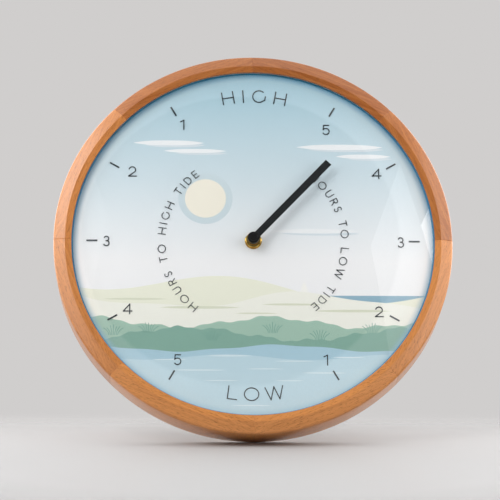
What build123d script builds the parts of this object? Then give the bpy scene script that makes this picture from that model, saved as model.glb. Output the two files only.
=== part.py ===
"""Tide clock: wooden wall frame, domed lens, printed dial, one hand and a quartz tide movement.

Millimetres. The origin is the centre of the hanger's keyhole on the wall plane, +Z is up, +X is the
viewer's right and the dial faces -Y. Depths are y values: 0 at the wall, more negative towards the
viewer. Everything is built about the hand's axis and then lowered by the keyhole's height above that
axis. Dial angles run clockwise from 12 o'clock.
"""
from build123d import *
import os
from math import asin, cos, pi, radians, sin

# Wooden frame: glued segments with an outward slope, a narrow inner bevel and a rabbet behind the lip
FRAME_DIAMETER = 300.0
FRAME_DEPTH = 28.0
SEGMENT_COUNT = 8
OUTER_SLOPE_WIDTH = 8.9
OUTER_SLOPE_DROP = 2.6
INNER_BEVEL_WIDTH = 4.7
INNER_BEVEL_DROP = 0.5
LIP_THICKNESS = 2.0
RABBET_STEP = 4.6
OUTER_EDGE_ROUND = 2.0
RIDGE_ROUND = 1.6
BACK_EDGE_ROUND = 1.5

# Lens, spacer, print and board, stacked in the rabbet
RABBET_CLEARANCE = 0.3
LENS_THICKNESS = 2.0
LENS_DOME_RISE = 11.0
LENS_DOME_GAP = 0.8
SPACER_THICKNESS = 0.8
SPACER_INSET = 0.6
PRINT_THICKNESS = 0.3
BOARD_THICKNESS = 2.5

# Glazier's points that hold the stack in the frame
POINT_THICKNESS = 0.5
POINT_WIDTH = 9.0
POINT_BITE = 4.0
POINT_LAP = 8.0
POINT_SLOT_CLEARANCE = 0.05

# Movement case
CASE_SIZE = 56.0
CASE_DEPTH = 16.0
CASE_WALL = 1.4
CASE_CORNER = 3.0
COVER_THICKNESS = 1.5
COVER_LEDGE = 0.7
COVER_CLEARANCE = 0.1
COVER_RING_WALL = 0.8
COVER_RING_GAP = 0.6
COVER_RING_HEIGHT = 1.2
BAY_DIVIDER_TOP = -10.0
BAY_DIVIDER_THICKNESS = 1.2
BAY_NOTCH_RADIUS = 9.0
BAY_NOTCH_DEPTH = 7.0

# Bush, nut and washers that clamp the movement to the board
BUSH_RADIUS = 4.0
BUSH_FLANGE_RADIUS = 6.0
BUSH_FLANGE_THICKNESS = 0.6
BUSH_PROUD = 0.8
THREAD_CLEARANCE = 0.05
HOLE_CLEARANCE = 0.3
NUT_ACROSS_FLATS = 11.0
NUT_THICKNESS = 2.2
NUT_CHAMFER = 0.5
DIAL_WASHER_RADIUS = 6.4
DIAL_WASHER_THICKNESS = 0.5
RUBBER_RADIUS = 10.0
RUBBER_THICKNESS = 0.8

# Hanger plate, bent from one strip of sheet steel
HANGER_THICKNESS = 1.0
HANGER_WIDTH = 24.0
HANGER_TAIL = 12.0
HANGER_CASE_GAP = 0.5
HANGER_BEND_RADIUS = 1.0
KEYHOLE_ABOVE_BEND = 10.5
KEYHOLE_RADIUS = 4.0
KEYHOLE_SLOT_WIDTH = 3.2
KEYHOLE_SLOT_LENGTH = 8.0
HANGER_TOP_MARGIN = 4.5
HANGER_CORNER = 5.0

# Hand and cap
HAND_LENGTH = 83.8
HAND_HUB_WIDTH = 5.2
HAND_TIP_WIDTH = 5.6
HAND_THICKNESS = 0.6
HAND_REST_ANGLE = 43.0
HAND_HUB_RADIUS = 4.2
HAND_COLLAR_RADIUS = 3.4
HAND_COLLAR_LENGTH = 2.4
HAND_END_PLAY = 0.25
CAP_RADIUS = 4.5
CAP_HEIGHT = 2.4
CAP_DISH_RADIUS = 3.1
CAP_DISH_DEPTH = 0.5
CAP_EDGE_ROUND = 0.6
CAP_PLUG_LENGTH = 3.0

# Running fits and arbors of the train
RUNNING_CLEARANCE = 0.04
PUSH_CLEARANCE = 0.02
END_SHAKE = 0.2
TUBE_RADIUS = 2.5
TUBE_BORE_RADIUS = 1.4
PIVOT_RADIUS = 0.35
ARBOR_RADIUS = 0.45
SETTING_ARBOR_RADIUS = 1.0
SETTING_COLLAR_RADIUS = 1.5

# Tooth numbers: a 2 s rotor turn times 9, 9, 9, 46/6 and 4 is 44 712 s, one tide of 12 h 25 min 12 s
PINION_LEAVES = 6
FAST_WHEEL_TEETH = 54
FOURTH_WHEEL_TEETH = 46
TIDE_WHEEL_TEETH = 24
FAST_MODULE = 0.3
FOURTH_MODULE = 0.4
TIDE_MODULE = 0.5

# Tooth form in modules: addendum, dedendum, half width at root and at tip
WHEEL_TOOTH = (0.8, 1.0, 0.6, 0.3)
PINION_TOOTH = (0.6, 1.2, 0.45, 0.3)

# Lines of centres: clockwise angle from each arbor to the next
SETTING_ANGLE = -50.0
THIRD_ANGLE = 20.0
SECOND_ANGLE = 100.0
FIRST_ANGLE = 120.0
ROTOR_ANGLE = 60.0

# Levels in the movement, measured back from the case's front face
TIDE_WHEEL_LEVEL = 2.3
TIDE_WHEEL_THICKNESS = 1.2
FOURTH_WHEEL_LEVEL = 4.5
FOURTH_WHEEL_THICKNESS = 1.0
FAST_WHEEL_THICKNESS = 0.8
FAST_WHEEL_PITCH = 1.5
THIRD_WHEEL_LEVEL = 6.3
PINION_OVERLAP = 0.25
TRAIN_PLATE_THICKNESS = 1.0
CLUTCH_WASHER_RADIUS = 2.6
CLUTCH_WASHER_THICKNESS = 0.4
CLUTCH_GAP = 0.1
WHEEL_HOLE_COUNT = 5

# Setting knob
KNOB_RADIUS = 5.0
KNOB_THICKNESS = 1.4
KNOB_GAP = 0.2
KNOB_FLUTES = 16
KNOB_FLUTE_RADIUS = 0.5

# Stepping motor
MAGNET_RADIUS = 2.5
MAGNET_LENGTH = 2.4
MAGNET_LEVEL = 4.2
MAGNET_AIR_GAP = 0.4
STATOR_THICKNESS = 0.8
STATOR_ARM = 2.6
STATOR_POLE_RADIUS = 4.0
COIL_HEIGHT = 9.5
COIL_LENGTH = 10.0
COIL_RADIUS = 2.1
COIL_CORE_LENGTH = 15.6
COIL_CORE_WIDTH = 1.6

# Circuit board and crystal
CIRCUIT_WIDTH = 9.6
CIRCUIT_HEIGHT = 20.0
CIRCUIT_THICKNESS = 1.0
CIRCUIT_LEVEL = 6.0
CIRCUIT_CENTRE_Z = 6.0
CIRCUIT_WALL_GAP = 0.4
CRYSTAL_RADIUS = 1.0
CRYSTAL_LENGTH = 6.0

# Posts that carry the train plate, and the room between train and walls
BOSS_RADIUS = 1.6
POST_SIDE_INSET = 8.6
POST_EDGE_INSET = 2.2
TRAIN_WALL_GAP = 0.3

# AA battery and its contacts
BATTERY_RADIUS = 7.1
BATTERY_LENGTH = 49.2
BATTERY_NUB_RADIUS = 2.7
BATTERY_NUB_LENGTH = 1.0
BATTERY_FLOOR_GAP = 0.2
LEAF_BOW = 2.6
CONTACT_THICKNESS = 0.4
CONTACT_WIDTH = 8.0
CONTACT_HEIGHT = 11.0

# Radii worked out from the frame
frame_radius = FRAME_DIAMETER / 2
ridge_radius = frame_radius - OUTER_SLOPE_WIDTH
lip_radius = ridge_radius - INNER_BEVEL_WIDTH
rabbet_radius = lip_radius + RABBET_STEP
stack_radius = rabbet_radius - RABBET_CLEARANCE

# Depths worked out from the frame's front
ridge_y = -FRAME_DEPTH
lip_front_y = ridge_y + INNER_BEVEL_DROP
shoulder_y = lip_front_y + LIP_THICKNESS
lens_back_y = shoulder_y + LENS_THICKNESS
print_front_y = lens_back_y + SPACER_THICKNESS
board_front_y = print_front_y + PRINT_THICKNESS
board_back_y = board_front_y + BOARD_THICKNESS
rubber_back_y = board_back_y + RUBBER_THICKNESS
case_front_y = rubber_back_y + HANGER_THICKNESS
washer_front_y = print_front_y - DIAL_WASHER_THICKNESS
nut_front_y = washer_front_y - NUT_THICKNESS
bush_front_y = nut_front_y - BUSH_PROUD
collar_back_y = bush_front_y - HAND_END_PLAY
hand_back_y = collar_back_y - HAND_COLLAR_LENGTH
hand_front_y = hand_back_y - HAND_THICKNESS
cap_front_y = hand_front_y - CAP_HEIGHT

# Distances and levels worked out from the train
cover_level = CASE_DEPTH - COVER_THICKNESS
second_wheel_level = THIRD_WHEEL_LEVEL + FAST_WHEEL_PITCH
first_wheel_level = second_wheel_level + FAST_WHEEL_PITCH
train_plate_level = first_wheel_level + FAST_WHEEL_THICKNESS + PINION_OVERLAP + END_SHAKE
setting_distance = TIDE_MODULE * (TIDE_WHEEL_TEETH + PINION_LEAVES) / 2
third_distance = FOURTH_MODULE * (FOURTH_WHEEL_TEETH + PINION_LEAVES) / 2
fast_distance = FAST_MODULE * (FAST_WHEEL_TEETH + PINION_LEAVES) / 2


def level(depth):
    """Return the y of a level measured back from the movement case's front face."""
    return case_front_y + depth


def step_from(start, distance, angle):
    """Return the dial-plane point a distance from another, along a clockwise angle from 12 o'clock."""
    return (start[0] + distance * sin(radians(angle)), start[1] + distance * cos(radians(angle)))


hand_axis = (0.0, 0.0)
setting_axis = step_from(hand_axis, setting_distance, SETTING_ANGLE)
third_axis = step_from(setting_axis, third_distance, THIRD_ANGLE)
second_axis = step_from(third_axis, fast_distance, SECOND_ANGLE)
first_axis = step_from(second_axis, fast_distance, FIRST_ANGLE)
rotor_axis = step_from(first_axis, fast_distance, ROTOR_ANGLE)

# Case, battery bay and hanger: the bay is as long as the cell with its contacts
case_half = CASE_SIZE / 2
case_inner_half = case_half - CASE_WALL
bay_length = LEAF_BOW + BATTERY_LENGTH + BATTERY_NUB_LENGTH + CONTACT_THICKNESS
bay_top = BAY_DIVIDER_TOP - BAY_DIVIDER_THICKNESS
hanger_leg_z = case_half + HANGER_CASE_GAP
hanger_rise = hanger_leg_z + HANGER_THICKNESS + KEYHOLE_ABOVE_BEND


def dial_plane(y):
    """Return the plane at depth y whose sketch x is the viewer's right and whose sketch y is up."""
    return Plane(origin=(0, y, 0), x_dir=(1, 0, 0), z_dir=(0, -1, 0))


def plate(sketch, back_y, front_y):
    """Extrude a sketch drawn as seen from the front between two depths."""
    return extrude(dial_plane(back_y) * sketch, back_y - front_y)


def rod(centre, radius, back_y, front_y):
    """Return a round rod along Y about a dial-plane point."""
    return plate(Pos(*centre) * Circle(radius), back_y, front_y)


def ring(outer, inner, back_y, front_y):
    """Return a flat ring about the hand's axis."""
    return plate(Circle(outer) - Circle(inner), back_y, front_y)


def turned(shape, clockwise):
    """Turn a shape clockwise about the hand's axis, as seen from the front."""
    return Rot(0, clockwise, 0) * shape


def spun(lines, angle=360):
    """Revolve a closed section of (radius, y) lines about the hand's axis."""
    return revolve(make_face(lines), Axis.Y, angle)


def tooth_points(teeth, module, tooth, phase):
    """List a straight-flanked gear's corners: root, tip, tip and root for each tooth, from a phase."""
    addendum, dedendum, root_half, tip_half = [module * share for share in tooth]
    root = module * teeth / 2 - dedendum
    tip = module * teeth / 2 + addendum
    corners = ((root, -root_half), (tip, -tip_half), (tip, tip_half), (root, root_half))
    centres = [radians(phase) + 2 * pi * k / teeth for k in range(teeth)]
    return [(r * sin(a + half / r), r * cos(a + half / r)) for a in centres for r, half in corners]


def gear(centre, teeth, module, tooth, phase, back_y, front_y):
    """Return a spur gear whose first tooth points along a clockwise phase angle."""
    outline = make_face(Polyline(tooth_points(teeth, module, tooth, phase), close=True))
    return plate(Pos(*centre) * outline, back_y, front_y)


def mesh_phase(wheel_phase, wheel_teeth, centre_angle):
    """Return the pinion phase that puts a leaf gap on the wheel tooth or gap that faces it.

    The wheel's offset from a tooth on the line of centres is a share of its pitch. The pinion has the
    same share of its own pitch the other way, and a half pitch more.
    """
    pitch = 360 / wheel_teeth
    share = ((wheel_phase - centre_angle) % pitch) / pitch
    return centre_angle + 180 + (0.5 - share) * 360 / PINION_LEAVES


def frame_segment(number):
    """Return one segment of the ring, its section revolved between two radial glue faces."""
    section = make_face(
        Polyline(
            (rabbet_radius, 0),
            (frame_radius, 0),
            (frame_radius, ridge_y + OUTER_SLOPE_DROP),
            (ridge_radius, ridge_y),
            (lip_radius, lip_front_y),
            (lip_radius, shoulder_y),
            (rabbet_radius, shoulder_y),
            close=True,
        )
    )
    rounds = (
        ((frame_radius, 0), BACK_EDGE_ROUND),
        ((frame_radius, ridge_y + OUTER_SLOPE_DROP), OUTER_EDGE_ROUND),
        ((ridge_radius, ridge_y), RIDGE_ROUND),
    )
    for corner, radius in rounds:
        section = fillet(section.vertices().sort_by_distance((*corner, 0))[0], radius)
    sweep_angle = 360 / SEGMENT_COUNT
    segment = turned(revolve(section, Axis.Y, sweep_angle), -90)
    slot = turned(glazier_point(POINT_SLOT_CLEARANCE), sweep_angle / 2)
    return turned(segment - slot, (number - 1) * sweep_angle)


def glazier_point(clearance=0.0):
    """Return one flat steel point at 12 o'clock, its tip in the frame, grown by a clearance."""
    half = POINT_WIDTH / 2 + clearance
    tip = rabbet_radius + POINT_BITE + 2 * clearance
    base = stack_radius - POINT_LAP
    outline = Polygon((-half, base), (half, base), (0, tip), align=None)
    return plate(outline, board_back_y + POINT_THICKNESS + clearance, board_back_y - clearance)


def retaining_points():
    """Return one glazier's point in the middle of each segment."""
    sweep_angle = 360 / SEGMENT_COUNT
    return Compound([turned(glazier_point(), (k + 0.5) * sweep_angle) for k in range(SEGMENT_COUNT)])


def dome_line(rim_radius, rim_y):
    """Return the arc of the lens from its apex on the axis to its rim."""
    radius = (rim_radius**2 + LENS_DOME_RISE**2) / (2 * LENS_DOME_RISE)
    apex_y = rim_y - LENS_DOME_RISE
    half = asin(rim_radius / radius) / 2
    middle = (radius * sin(half), apex_y + radius * (1 - cos(half)))
    return ThreePointArc((0, apex_y), middle, (rim_radius, rim_y))


def lens():
    """Return the domed lens with the flat rim that sits behind the frame's lip."""
    dome_radius = lip_radius - LENS_DOME_GAP
    front = dome_line(dome_radius, shoulder_y)
    back = dome_line(dome_radius, lens_back_y)
    rim = Polyline(front @ 1, (stack_radius, shoulder_y), (stack_radius, lens_back_y), back @ 1)
    axis_line = Line(back @ 0, front @ 0)
    return spun(front + rim + back + axis_line)


def dial_nut():
    """Return the hexagon nut with both rims chamfered to a cone."""
    corner = NUT_ACROSS_FLATS / 3**0.5
    hexagon = plate(RegularPolygon(corner, 6), washer_front_y, nut_front_y)
    flat = NUT_ACROSS_FLATS / 2
    turning = spun(
        Polyline(
            (0, washer_front_y),
            (flat, washer_front_y),
            (flat + 2 * NUT_CHAMFER, washer_front_y - NUT_CHAMFER),
            (flat + 2 * NUT_CHAMFER, nut_front_y + NUT_CHAMFER),
            (flat, nut_front_y),
            (0, nut_front_y),
            close=True,
        )
    )
    return (hexagon & turning) - rod(hand_axis, BUSH_RADIUS + THREAD_CLEARANCE, washer_front_y, nut_front_y)


def threaded_bush():
    """Return the brass bush: a flange inside the case and a barrel out through the dial."""
    flange = rod(hand_axis, BUSH_FLANGE_RADIUS, level(CASE_WALL + BUSH_FLANGE_THICKNESS), level(CASE_WALL))
    barrel = rod(hand_axis, BUSH_RADIUS, level(CASE_WALL), bush_front_y)
    bore = rod(hand_axis, TUBE_RADIUS + RUNNING_CLEARANCE, level(CASE_DEPTH), bush_front_y)
    return flange + barrel - bore


def hanger_plate():
    """Return the bent hanger: a tail under the movement, a leg past the case and an ear with a keyhole."""
    strip = make_face(
        Polyline(
            (rubber_back_y, -HANGER_TAIL),
            (case_front_y, -HANGER_TAIL),
            (case_front_y, hanger_leg_z),
            (0, hanger_leg_z),
            (0, hanger_rise + KEYHOLE_SLOT_LENGTH + HANGER_TOP_MARGIN),
            (-HANGER_THICKNESS, hanger_rise + KEYHOLE_SLOT_LENGTH + HANGER_TOP_MARGIN),
            (-HANGER_THICKNESS, hanger_leg_z + HANGER_THICKNESS),
            (rubber_back_y, hanger_leg_z + HANGER_THICKNESS),
            close=True,
        )
    )
    bends = (
        ((rubber_back_y, hanger_leg_z + HANGER_THICKNESS), HANGER_BEND_RADIUS),
        ((0, hanger_leg_z), HANGER_BEND_RADIUS),
    )
    for corner, radius in bends:
        strip = fillet(strip.vertices().sort_by_distance((*corner, 0))[0], radius)
    solid = extrude(Plane.YZ * strip, HANGER_WIDTH / 2, both=True)
    top = solid.edges().filter_by(Axis.Y).group_by(Axis.Z)[-1]
    tail = solid.edges().filter_by(Axis.Y).group_by(Axis.Z)[0]
    solid = fillet(top + tail, HANGER_CORNER)
    slot = Pos(0, KEYHOLE_SLOT_LENGTH / 2) * Rectangle(KEYHOLE_SLOT_WIDTH, KEYHOLE_SLOT_LENGTH)
    slot_end = Pos(0, KEYHOLE_SLOT_LENGTH) * Circle(KEYHOLE_SLOT_WIDTH / 2)
    keyhole = Pos(0, hanger_rise) * (Circle(KEYHOLE_RADIUS) + slot + slot_end)
    solid -= plate(keyhole, 0, -HANGER_THICKNESS)
    return solid - rod(hand_axis, BUSH_RADIUS + HOLE_CLEARANCE, case_front_y, rubber_back_y)


def hand():
    """Return the straight hand with its hub and the collar that pushes onto the tube, at its rest angle."""
    blade = Polygon(
        (-HAND_HUB_WIDTH / 2, 0),
        (HAND_HUB_WIDTH / 2, 0),
        (HAND_TIP_WIDTH / 2, HAND_LENGTH),
        (-HAND_TIP_WIDTH / 2, HAND_LENGTH),
        align=None,
    )
    flat = plate(blade + Circle(HAND_HUB_RADIUS), hand_back_y, hand_front_y)
    collar = rod(hand_axis, HAND_COLLAR_RADIUS, collar_back_y, hand_back_y)
    hole = rod(hand_axis, TUBE_RADIUS + PUSH_CLEARANCE, collar_back_y, hand_front_y)
    return turned(flat + collar - hole, HAND_REST_ANGLE)


def hand_cap():
    """Return the cap: a dished button with a plug that pushes into the tube."""
    plug = TUBE_BORE_RADIUS - PUSH_CLEARANCE
    section = make_face(
        Polyline(
            (0, hand_front_y + CAP_PLUG_LENGTH),
            (plug, hand_front_y + CAP_PLUG_LENGTH),
            (plug, hand_front_y),
            (CAP_RADIUS, hand_front_y),
            (CAP_RADIUS, cap_front_y),
            (CAP_DISH_RADIUS, cap_front_y),
            (CAP_DISH_RADIUS - CAP_DISH_DEPTH, cap_front_y + CAP_DISH_DEPTH),
            (0, cap_front_y + CAP_DISH_DEPTH),
            close=True,
        )
    )
    edge = section.vertices().sort_by_distance((CAP_RADIUS, cap_front_y, 0))[0]
    return revolve(fillet(edge, CAP_EDGE_ROUND), Axis.Y)


def tide_wheel():
    """Return the tide wheel with the tube that runs in the bush and carries the hand."""
    front = level(TIDE_WHEEL_LEVEL)
    back = level(TIDE_WHEEL_LEVEL + TIDE_WHEEL_THICKNESS)
    wheel = gear(hand_axis, TIDE_WHEEL_TEETH, TIDE_MODULE, WHEEL_TOOTH, SETTING_ANGLE, back, front)
    tube = rod(hand_axis, TUBE_RADIUS, front, hand_front_y)
    return wheel + tube - rod(hand_axis, TUBE_BORE_RADIUS, back, hand_front_y)


def setting_arbor():
    """Return the arbor that the knob turns: pivot, tide pinion, clutch collar and shaft."""
    pinion_front = level(TIDE_WHEEL_LEVEL - PINION_OVERLAP)
    pinion_back = level(TIDE_WHEEL_LEVEL + TIDE_WHEEL_THICKNESS + PINION_OVERLAP)
    collar_back = level(FOURTH_WHEEL_LEVEL - CLUTCH_GAP)
    phase = mesh_phase(SETTING_ANGLE, TIDE_WHEEL_TEETH, SETTING_ANGLE)
    pinion = gear(setting_axis, PINION_LEAVES, TIDE_MODULE, PINION_TOOTH, phase, pinion_back, pinion_front)
    pivot = rod(setting_axis, PIVOT_RADIUS, pinion_front, level(CASE_WALL / 2))
    collar = rod(setting_axis, SETTING_COLLAR_RADIUS, collar_back, pinion_back)
    shaft_back = level(CASE_DEPTH + KNOB_GAP + KNOB_THICKNESS)
    shaft = rod(setting_axis, SETTING_ARBOR_RADIUS, shaft_back, collar_back)
    return pinion + pivot + collar + shaft


def clutch_washer():
    """Return the spring washer that presses the fourth wheel against the arbor's collar."""
    front = level(FOURTH_WHEEL_LEVEL + FOURTH_WHEEL_THICKNESS + CLUTCH_GAP)
    back = front + CLUTCH_WASHER_THICKNESS
    disc = rod(setting_axis, CLUTCH_WASHER_RADIUS, back, front)
    return disc - rod(setting_axis, SETTING_ARBOR_RADIUS + PUSH_CLEARANCE, back, front)


def setting_knob():
    """Return the fluted knob pushed onto the arbor's end behind the rear cover."""
    front = level(CASE_DEPTH + KNOB_GAP)
    back = front + KNOB_THICKNESS
    flutes = Sketch() + [
        Pos(*step_from((0, 0), KNOB_RADIUS, k * 360 / KNOB_FLUTES)) * Circle(KNOB_FLUTE_RADIUS)
        for k in range(KNOB_FLUTES)
    ]
    outline = Circle(KNOB_RADIUS) - flutes - Circle(SETTING_ARBOR_RADIUS + PUSH_CLEARANCE)
    return plate(Pos(*setting_axis) * outline, back, front)


def crossed_out(wheel, centre, inner, outer, back_y, front_y):
    """Cut a circle of round holes midway between two radii of a wheel."""
    middle = (inner + outer) / 2
    hole = (outer - inner) / 3
    for k in range(WHEEL_HOLE_COUNT):
        wheel -= rod(step_from(centre, middle, k * 360 / WHEEL_HOLE_COUNT), hole, back_y, front_y)
    return wheel


def fourth_wheel():
    """Return the wheel that the third pinion drives, a friction fit on the setting arbor."""
    front = level(FOURTH_WHEEL_LEVEL)
    back = level(FOURTH_WHEEL_LEVEL + FOURTH_WHEEL_THICKNESS)
    bore = SETTING_ARBOR_RADIUS + RUNNING_CLEARANCE
    wheel = gear(setting_axis, FOURTH_WHEEL_TEETH, FOURTH_MODULE, WHEEL_TOOTH, THIRD_ANGLE, back, front)
    root = FOURTH_MODULE * (FOURTH_WHEEL_TEETH / 2 - WHEEL_TOOTH[1])
    wheel = crossed_out(wheel, setting_axis, CLUTCH_WASHER_RADIUS, root, back, front)
    return wheel - rod(setting_axis, bore, back, front)


def fast_wheel(axis, wheel_level, wheel_phase, pinion_level, pinion_thickness, pinion_module, pinion_phase):
    """Return a 54-tooth wheel, its pinion and its arbor with a pivot at each end, as one moulding."""
    front = level(wheel_level)
    back = level(wheel_level + FAST_WHEEL_THICKNESS)
    wheel = gear(axis, FAST_WHEEL_TEETH, FAST_MODULE, WHEEL_TOOTH, wheel_phase, back, front)
    root = FAST_MODULE * (FAST_WHEEL_TEETH / 2 - WHEEL_TOOTH[1])
    wheel = crossed_out(wheel, axis, SETTING_COLLAR_RADIUS, root, back, front)
    pinion_front = level(pinion_level - PINION_OVERLAP)
    pinion_back = level(pinion_level + pinion_thickness + PINION_OVERLAP)
    pinion = gear(axis, PINION_LEAVES, pinion_module, PINION_TOOTH, pinion_phase, pinion_back, pinion_front)
    return wheel + pinion + pivoted_arbor(axis)


def pivoted_arbor(axis):
    """Return an arbor between the case floor and the train plate, with its two pivots."""
    shaft = rod(axis, ARBOR_RADIUS, level(train_plate_level - END_SHAKE), level(CASE_WALL + END_SHAKE))
    pivot_back = level(train_plate_level + TRAIN_PLATE_THICKNESS)
    return shaft + rod(axis, PIVOT_RADIUS, pivot_back, level(CASE_WALL / 2))


# Each pinion's phase follows from the wheel it drives, and each wheel has a tooth on its own line of centres
third_pinion_phase = mesh_phase(THIRD_ANGLE, FOURTH_WHEEL_TEETH, THIRD_ANGLE)
second_pinion_phase = mesh_phase(SECOND_ANGLE, FAST_WHEEL_TEETH, SECOND_ANGLE)
first_pinion_phase = mesh_phase(FIRST_ANGLE, FAST_WHEEL_TEETH, FIRST_ANGLE)
rotor_pinion_phase = mesh_phase(ROTOR_ANGLE, FAST_WHEEL_TEETH, ROTOR_ANGLE)


def rotor():
    """Return the rotor's arbor with its pinion."""
    pinion_front = level(first_wheel_level - PINION_OVERLAP)
    pinion_back = level(first_wheel_level + FAST_WHEEL_THICKNESS + PINION_OVERLAP / 2)
    tooth = (FAST_MODULE, PINION_TOOTH, rotor_pinion_phase)
    pinion = gear(rotor_axis, PINION_LEAVES, *tooth, pinion_back, pinion_front)
    return pinion + pivoted_arbor(rotor_axis)


def rotor_magnet():
    """Return the ring magnet pressed on the rotor's arbor."""
    front = level(MAGNET_LEVEL)
    back = level(MAGNET_LEVEL + MAGNET_LENGTH)
    disc = rod(rotor_axis, MAGNET_RADIUS, back, front)
    return disc - rod(rotor_axis, ARBOR_RADIUS + PUSH_CLEARANCE, back, front)


# Motor: the stator lies level with the magnet, and the coil's core rests on the ends of its two arms
stator_front_level = MAGNET_LEVEL + (MAGNET_LENGTH - STATOR_THICKNESS) / 2
stator_back_level = stator_front_level + STATOR_THICKNESS
coil_z = rotor_axis[1] + COIL_HEIGHT
coil_right = rotor_axis[0] + STATOR_POLE_RADIUS - STATOR_ARM / 2
coil_left = coil_right - COIL_CORE_LENGTH + STATOR_ARM
coil_x = (coil_left + coil_right) / 2


def stator():
    """Return the stator: a pole ring round the magnet and an arm to each end of the coil."""
    arm_top = coil_z + STATOR_ARM / 2
    arm_foot = rotor_axis[1] - STATOR_ARM / 2
    right_arm = Polygon(
        (coil_right - STATOR_ARM / 2, arm_foot),
        (coil_right + STATOR_ARM / 2, arm_foot),
        (coil_right + STATOR_ARM / 2, arm_top),
        (coil_right - STATOR_ARM / 2, arm_top),
        align=None,
    )
    left_arm = Polygon(
        (coil_left - STATOR_ARM / 2, arm_foot + STATOR_ARM),
        (coil_left + STATOR_ARM / 2, arm_foot + STATOR_ARM),
        (coil_left + STATOR_ARM / 2, arm_top),
        (coil_left - STATOR_ARM / 2, arm_top),
        align=None,
    )
    bridge = Polygon(
        (coil_left - STATOR_ARM / 2, arm_foot + STATOR_ARM),
        (rotor_axis[0], arm_foot + STATOR_ARM),
        (rotor_axis[0], arm_foot + 2 * STATOR_ARM),
        (coil_left - STATOR_ARM / 2, arm_foot + 2 * STATOR_ARM),
        align=None,
    )
    outline = Pos(*rotor_axis) * Circle(STATOR_POLE_RADIUS) + right_arm + bridge + left_arm
    outline -= Pos(*rotor_axis) * Circle(MAGNET_RADIUS + MAGNET_AIR_GAP)
    return plate(outline, level(stator_back_level), level(stator_front_level))


def coil_core():
    """Return the flat core that lies on both stator arms and passes through the winding."""
    bar = Pos(coil_x, coil_z) * Rectangle(COIL_CORE_LENGTH, COIL_CORE_WIDTH)
    return plate(bar, level(stator_back_level + STATOR_THICKNESS), level(stator_back_level))


def coil_winding():
    """Return the winding round the middle of the core, as one body of wire."""
    core_y = level(stator_back_level + STATOR_THICKNESS / 2)
    start = Plane(origin=(coil_x - COIL_LENGTH / 2, core_y, coil_z), x_dir=(0, 1, 0), z_dir=(1, 0, 0))
    slot = Rectangle(STATOR_THICKNESS + 2 * PUSH_CLEARANCE, COIL_CORE_WIDTH + 2 * PUSH_CLEARANCE)
    return extrude(start * (Circle(COIL_RADIUS) - slot), COIL_LENGTH)


# Posts that carry the train plate stand in corners of the train room that no wheel reaches
post_places = (
    (-case_inner_half + POST_SIDE_INSET, case_inner_half - POST_SIDE_INSET),
    (-case_inner_half + POST_SIDE_INSET, BAY_DIVIDER_TOP + POST_EDGE_INSET),
    (case_inner_half - POST_EDGE_INSET, BAY_DIVIDER_TOP + POST_EDGE_INSET),
    (second_axis[0], case_inner_half - POST_EDGE_INSET),
)
circuit_x = -case_inner_half + CIRCUIT_WALL_GAP + CIRCUIT_WIDTH / 2
circuit_bosses = [
    (circuit_x - CIRCUIT_WIDTH / 4, CIRCUIT_CENTRE_Z + side * CIRCUIT_HEIGHT / 3) for side in (-1, 1)
]
motor_bosses = ((coil_right, coil_z), (coil_left, coil_z))


def panel(left, right, low, high, corner):
    """Return a round-cornered rectangle between four edges."""
    return Pos((left + right) / 2, (low + high) / 2) * RectangleRounded(right - left, high - low, corner)


def front_case():
    """Return the moulded tray: floor, walls, train room, battery bay, posts, bosses and holes."""
    inner_corner = CASE_CORNER - CASE_WALL
    outline = panel(-case_half, case_half, -case_half, case_half, CASE_CORNER)
    tray = plate(outline, level(CASE_DEPTH), case_front_y)
    room = panel(-case_inner_half, case_inner_half, BAY_DIVIDER_TOP, case_inner_half, inner_corner)
    bay = panel(-bay_length / 2, bay_length / 2, -case_inner_half, bay_top, inner_corner)
    tray -= plate(room, level(CASE_DEPTH), level(CASE_WALL))
    tray -= plate(bay, level(CASE_DEPTH), level(CASE_WALL))
    ledge_half = case_half - COVER_LEDGE
    ledge = panel(-ledge_half, ledge_half, bay_top, ledge_half, inner_corner)
    tray -= plate(ledge, level(CASE_DEPTH), level(cover_level))
    for place in post_places:
        tray += rod(place, BOSS_RADIUS, level(train_plate_level), level(CASE_WALL))
    for place in circuit_bosses:
        tray += rod(place, BOSS_RADIUS, level(CIRCUIT_LEVEL), level(CASE_WALL))
    for place in motor_bosses:
        tray += rod(place, STATOR_ARM / 2, level(stator_front_level), level(CASE_WALL))
    notch = rod((0, -case_half), BAY_NOTCH_RADIUS, level(CASE_DEPTH), level(CASE_DEPTH - BAY_NOTCH_DEPTH))
    tray -= notch
    tray -= rod(hand_axis, BUSH_RADIUS + THREAD_CLEARANCE, level(CASE_WALL), case_front_y)
    pivot_floor = level(CASE_WALL / 2 - END_SHAKE)
    for axis in (setting_axis, third_axis, second_axis, first_axis, rotor_axis):
        tray -= rod(axis, PIVOT_RADIUS + RUNNING_CLEARANCE, level(CASE_WALL), pivot_floor)
    return tray


def train_plate():
    """Return the plate that rests on the posts and carries the rear pivots."""
    left = post_places[0][0] - BOSS_RADIUS
    far = case_inner_half - TRAIN_WALL_GAP
    outline = panel(left, far, BAY_DIVIDER_TOP + TRAIN_WALL_GAP, far, BOSS_RADIUS)
    outline -= Pos(*setting_axis) * Circle(SETTING_ARBOR_RADIUS + RUNNING_CLEARANCE)
    for axis in (third_axis, second_axis, first_axis, rotor_axis):
        outline -= Pos(*axis) * Circle(PIVOT_RADIUS + RUNNING_CLEARANCE)
    return plate(outline, level(train_plate_level + TRAIN_PLATE_THICKNESS), level(train_plate_level))


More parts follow.
